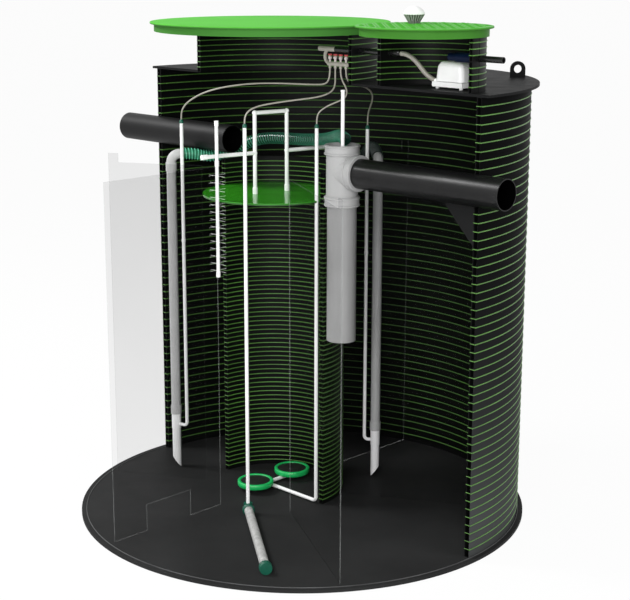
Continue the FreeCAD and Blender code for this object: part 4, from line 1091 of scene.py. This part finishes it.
class PLANT_OT_hoses(bpy.types.Operator):
    """Lay the air hoses, the blower's hose and the spiral hoses of the airlifts"""
    bl_idname = "plant.hoses"
    bl_label = "Hoses"

    def execute(self, context):
        sizes = context.scene.plant_sizes
        for node in ("air_hose_1", "air_hose_2", "air_hose_3", "air_hose_4", "blower_hose"):
            radius = sizes.blower_hose if node == "blower_hose" else sizes.air_hose
            tube = hose_line(f"{node}_line", ROUTES[node], radius, finish("pale_hose"))
            settle(tube, "pale_hose", node)
            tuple(ROUTES[node][0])
        tree = spiral_tree()
        for node, rib_finish, slot, far_end in (("return_hose", "green_spiral", "green_hose", "object"),
                                                ("spill_hose", "dark_spiral", "dark_hose", "bare")):
            radius = sizes.lift_hose
            wall = radius - WALL_INSET * sizes.spiral_rib
            tube = hose_line(f"{node}_wall", ROUTES[node], wall, finish("clear_hose"))
            settle(tube, slot, node)
            line = hose_line(f"{node}_route", ROUTES[node], 0.0, finish(rib_finish))
            turns = LENGTHS[node] / sizes.spiral_turn
            rib = grown(f"{node}_spiral", tree, {
                "Radius": radius - sizes.spiral_rib, "Turn": sizes.spiral_turn, "Rib": sizes.spiral_rib,
                "Points": round(turns * RIB_POINTS), "Finish": finish(rib_finish)}, carrier=line)
            settle(rib, slot)
            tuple(ROUTES[node][0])
        return {"FINISHED"}


def seen_directly(graph):
    """1 for rays from the camera and for those that mirror or pass through, else 0."""
    path = graph.add("ShaderNodeLightPath").outputs
    rays = [Term(graph, path[f"Is {kind} Ray"]) for kind in ("Camera", "Glossy", "Transmission")]
    return graph.math("MAXIMUM", graph.math("MAXIMUM", rays[0], rays[1]), rays[2])


def lamp(name, place, target, size, power):
    """Soft square lamp that faces a point."""
    data = bpy.data.lights.new(name, "AREA")
    data.size = size
    data.energy = power
    light = plain_object(name, data)
    light.location = place
    light.rotation_euler = (Vector(target) - Vector(place)).to_track_quat("-Z", "Y").to_euler()


class PLANT_OT_stage(bpy.types.Operator):
    """Set the pale floor, the studio light and the camera"""
    bl_idname = "plant.stage"
    bl_label = "Stage"

    def execute(self, context):
        scene = context.scene
        stage = scene.plant_stage
        scene.view_settings.view_transform = "Standard"
        self.make_world(scene, stage)
        self.make_floor(stage)
        for name, (place, target, size) in LAMPS.items():
            lamp(f"{name}_lamp", place, target, size, getattr(stage, f"{name}_power"))
        data = bpy.data.cameras.new("camera")
        data.sensor_width = 36.0
        data.lens = CAMERA_LENS
        data.shift_x, data.shift_y = CAMERA_SHIFT
        camera = plain_object("camera", data)
        camera.location = CAMERA_PLACE
        camera.rotation_euler = (math.pi / 2 - CAMERA_TILT, 0.0, CAMERA_HEADING)
        scene.camera = camera
        return {"FINISHED"}

    def make_world(self, scene, stage):
        """White where it is seen, and an even light elsewhere."""
        world = bpy.data.worlds.new("studio")
        world.use_nodes = True
        scene.world = world
        graph = Graph(world.node_tree)
        ground = world.node_tree.nodes["Background"].inputs
        extra = seen_directly(graph) * (1.0 - stage.world_light)
        graph.feed(ground["Strength"], extra + stage.world_light)
        graph.feed(ground["Color"], (1.0, 1.0, 1.0, 1.0))

    def make_floor(self, stage):
        """Wide pale floor that keeps a soft shadow and is otherwise near white."""
        mesh = bpy.data.meshes.new("floor")
        signs = ((-1, -1), (1, -1), (1, 1), (-1, 1))
        corners = [(x * FLOOR_REACH, y * FLOOR_REACH, 0.0) for x, y in signs]
        mesh.from_pydata(corners, [], [(0, 1, 2, 3)])
        floor = plain_object("floor", mesh)
        material = bpy.data.materials.new("pale_floor")
        material.use_nodes = True
        graph = Graph(material.node_tree)
        diffuse = graph.term("ShaderNodeBsdfDiffuse", {"Color": (*stage.floor, 1.0)})
        glow = graph.term("ShaderNodeEmission", {"Strength": 1.0})
        share = seen_directly(graph) * FLOOR_WHITE
        mix = graph.term("ShaderNodeMixShader", {0: share, 1: diffuse, 2: glow})
        graph.feed(material.node_tree.nodes["Material Output"].inputs["Surface"], mix)
        mesh.materials.append(material)


class PLANT_PT_looks(bpy.types.Panel):
    """Sidebar panel that lists the plant's looks"""
    bl_idname = "PLANT_PT_looks"
    bl_label = "Treatment plant"
    bl_space_type = "VIEW_3D"
    bl_region_type = "UI"
    bl_category = "Plant"

    def draw(self, context):
        for operator in OPERATORS:
            self.layout.operator(operator.bl_idname)
        for settings in GROUPS:
            group = getattr(context.scene, settings)
            box = self.layout.box()
            for name in group.__annotations__:
                box.prop(group, name)


OPERATORS = (PLANT_OT_walls, PLANT_OT_plates, PLANT_OT_lids, PLANT_OT_drains, PLANT_OT_airlifts,
             PLANT_OT_diffusers, PLANT_OT_pipework, PLANT_OT_partitions, PLANT_OT_air_supply, PLANT_OT_hoses,
             PLANT_OT_stage)
GROUPS = {"plant_colours": PlantColours, "plant_sizes": PlantSizes, "plant_stage": PlantStage}
CLASSES = (*GROUPS.values(), *OPERATORS, PLANT_PT_looks)


def register():
    """Add the classes and the settings that they read."""
    for kind in CLASSES:
        bpy.utils.register_class(kind)
    for settings, group in GROUPS.items():
        setattr(bpy.types.Scene, settings, PointerProperty(type=group))


def unregister():
    """Remove what register added."""
    for settings in GROUPS:
        delattr(bpy.types.Scene, settings)
    for kind in reversed(CLASSES):
        bpy.utils.unregister_class(kind)


def main():
    """Build the looks in order."""
    register()
    for operator in OPERATORS:
        group, name = operator.bl_idname.split(".")
        getattr(getattr(bpy.ops, group), name)()


if __name__ == "__main__":
    main()
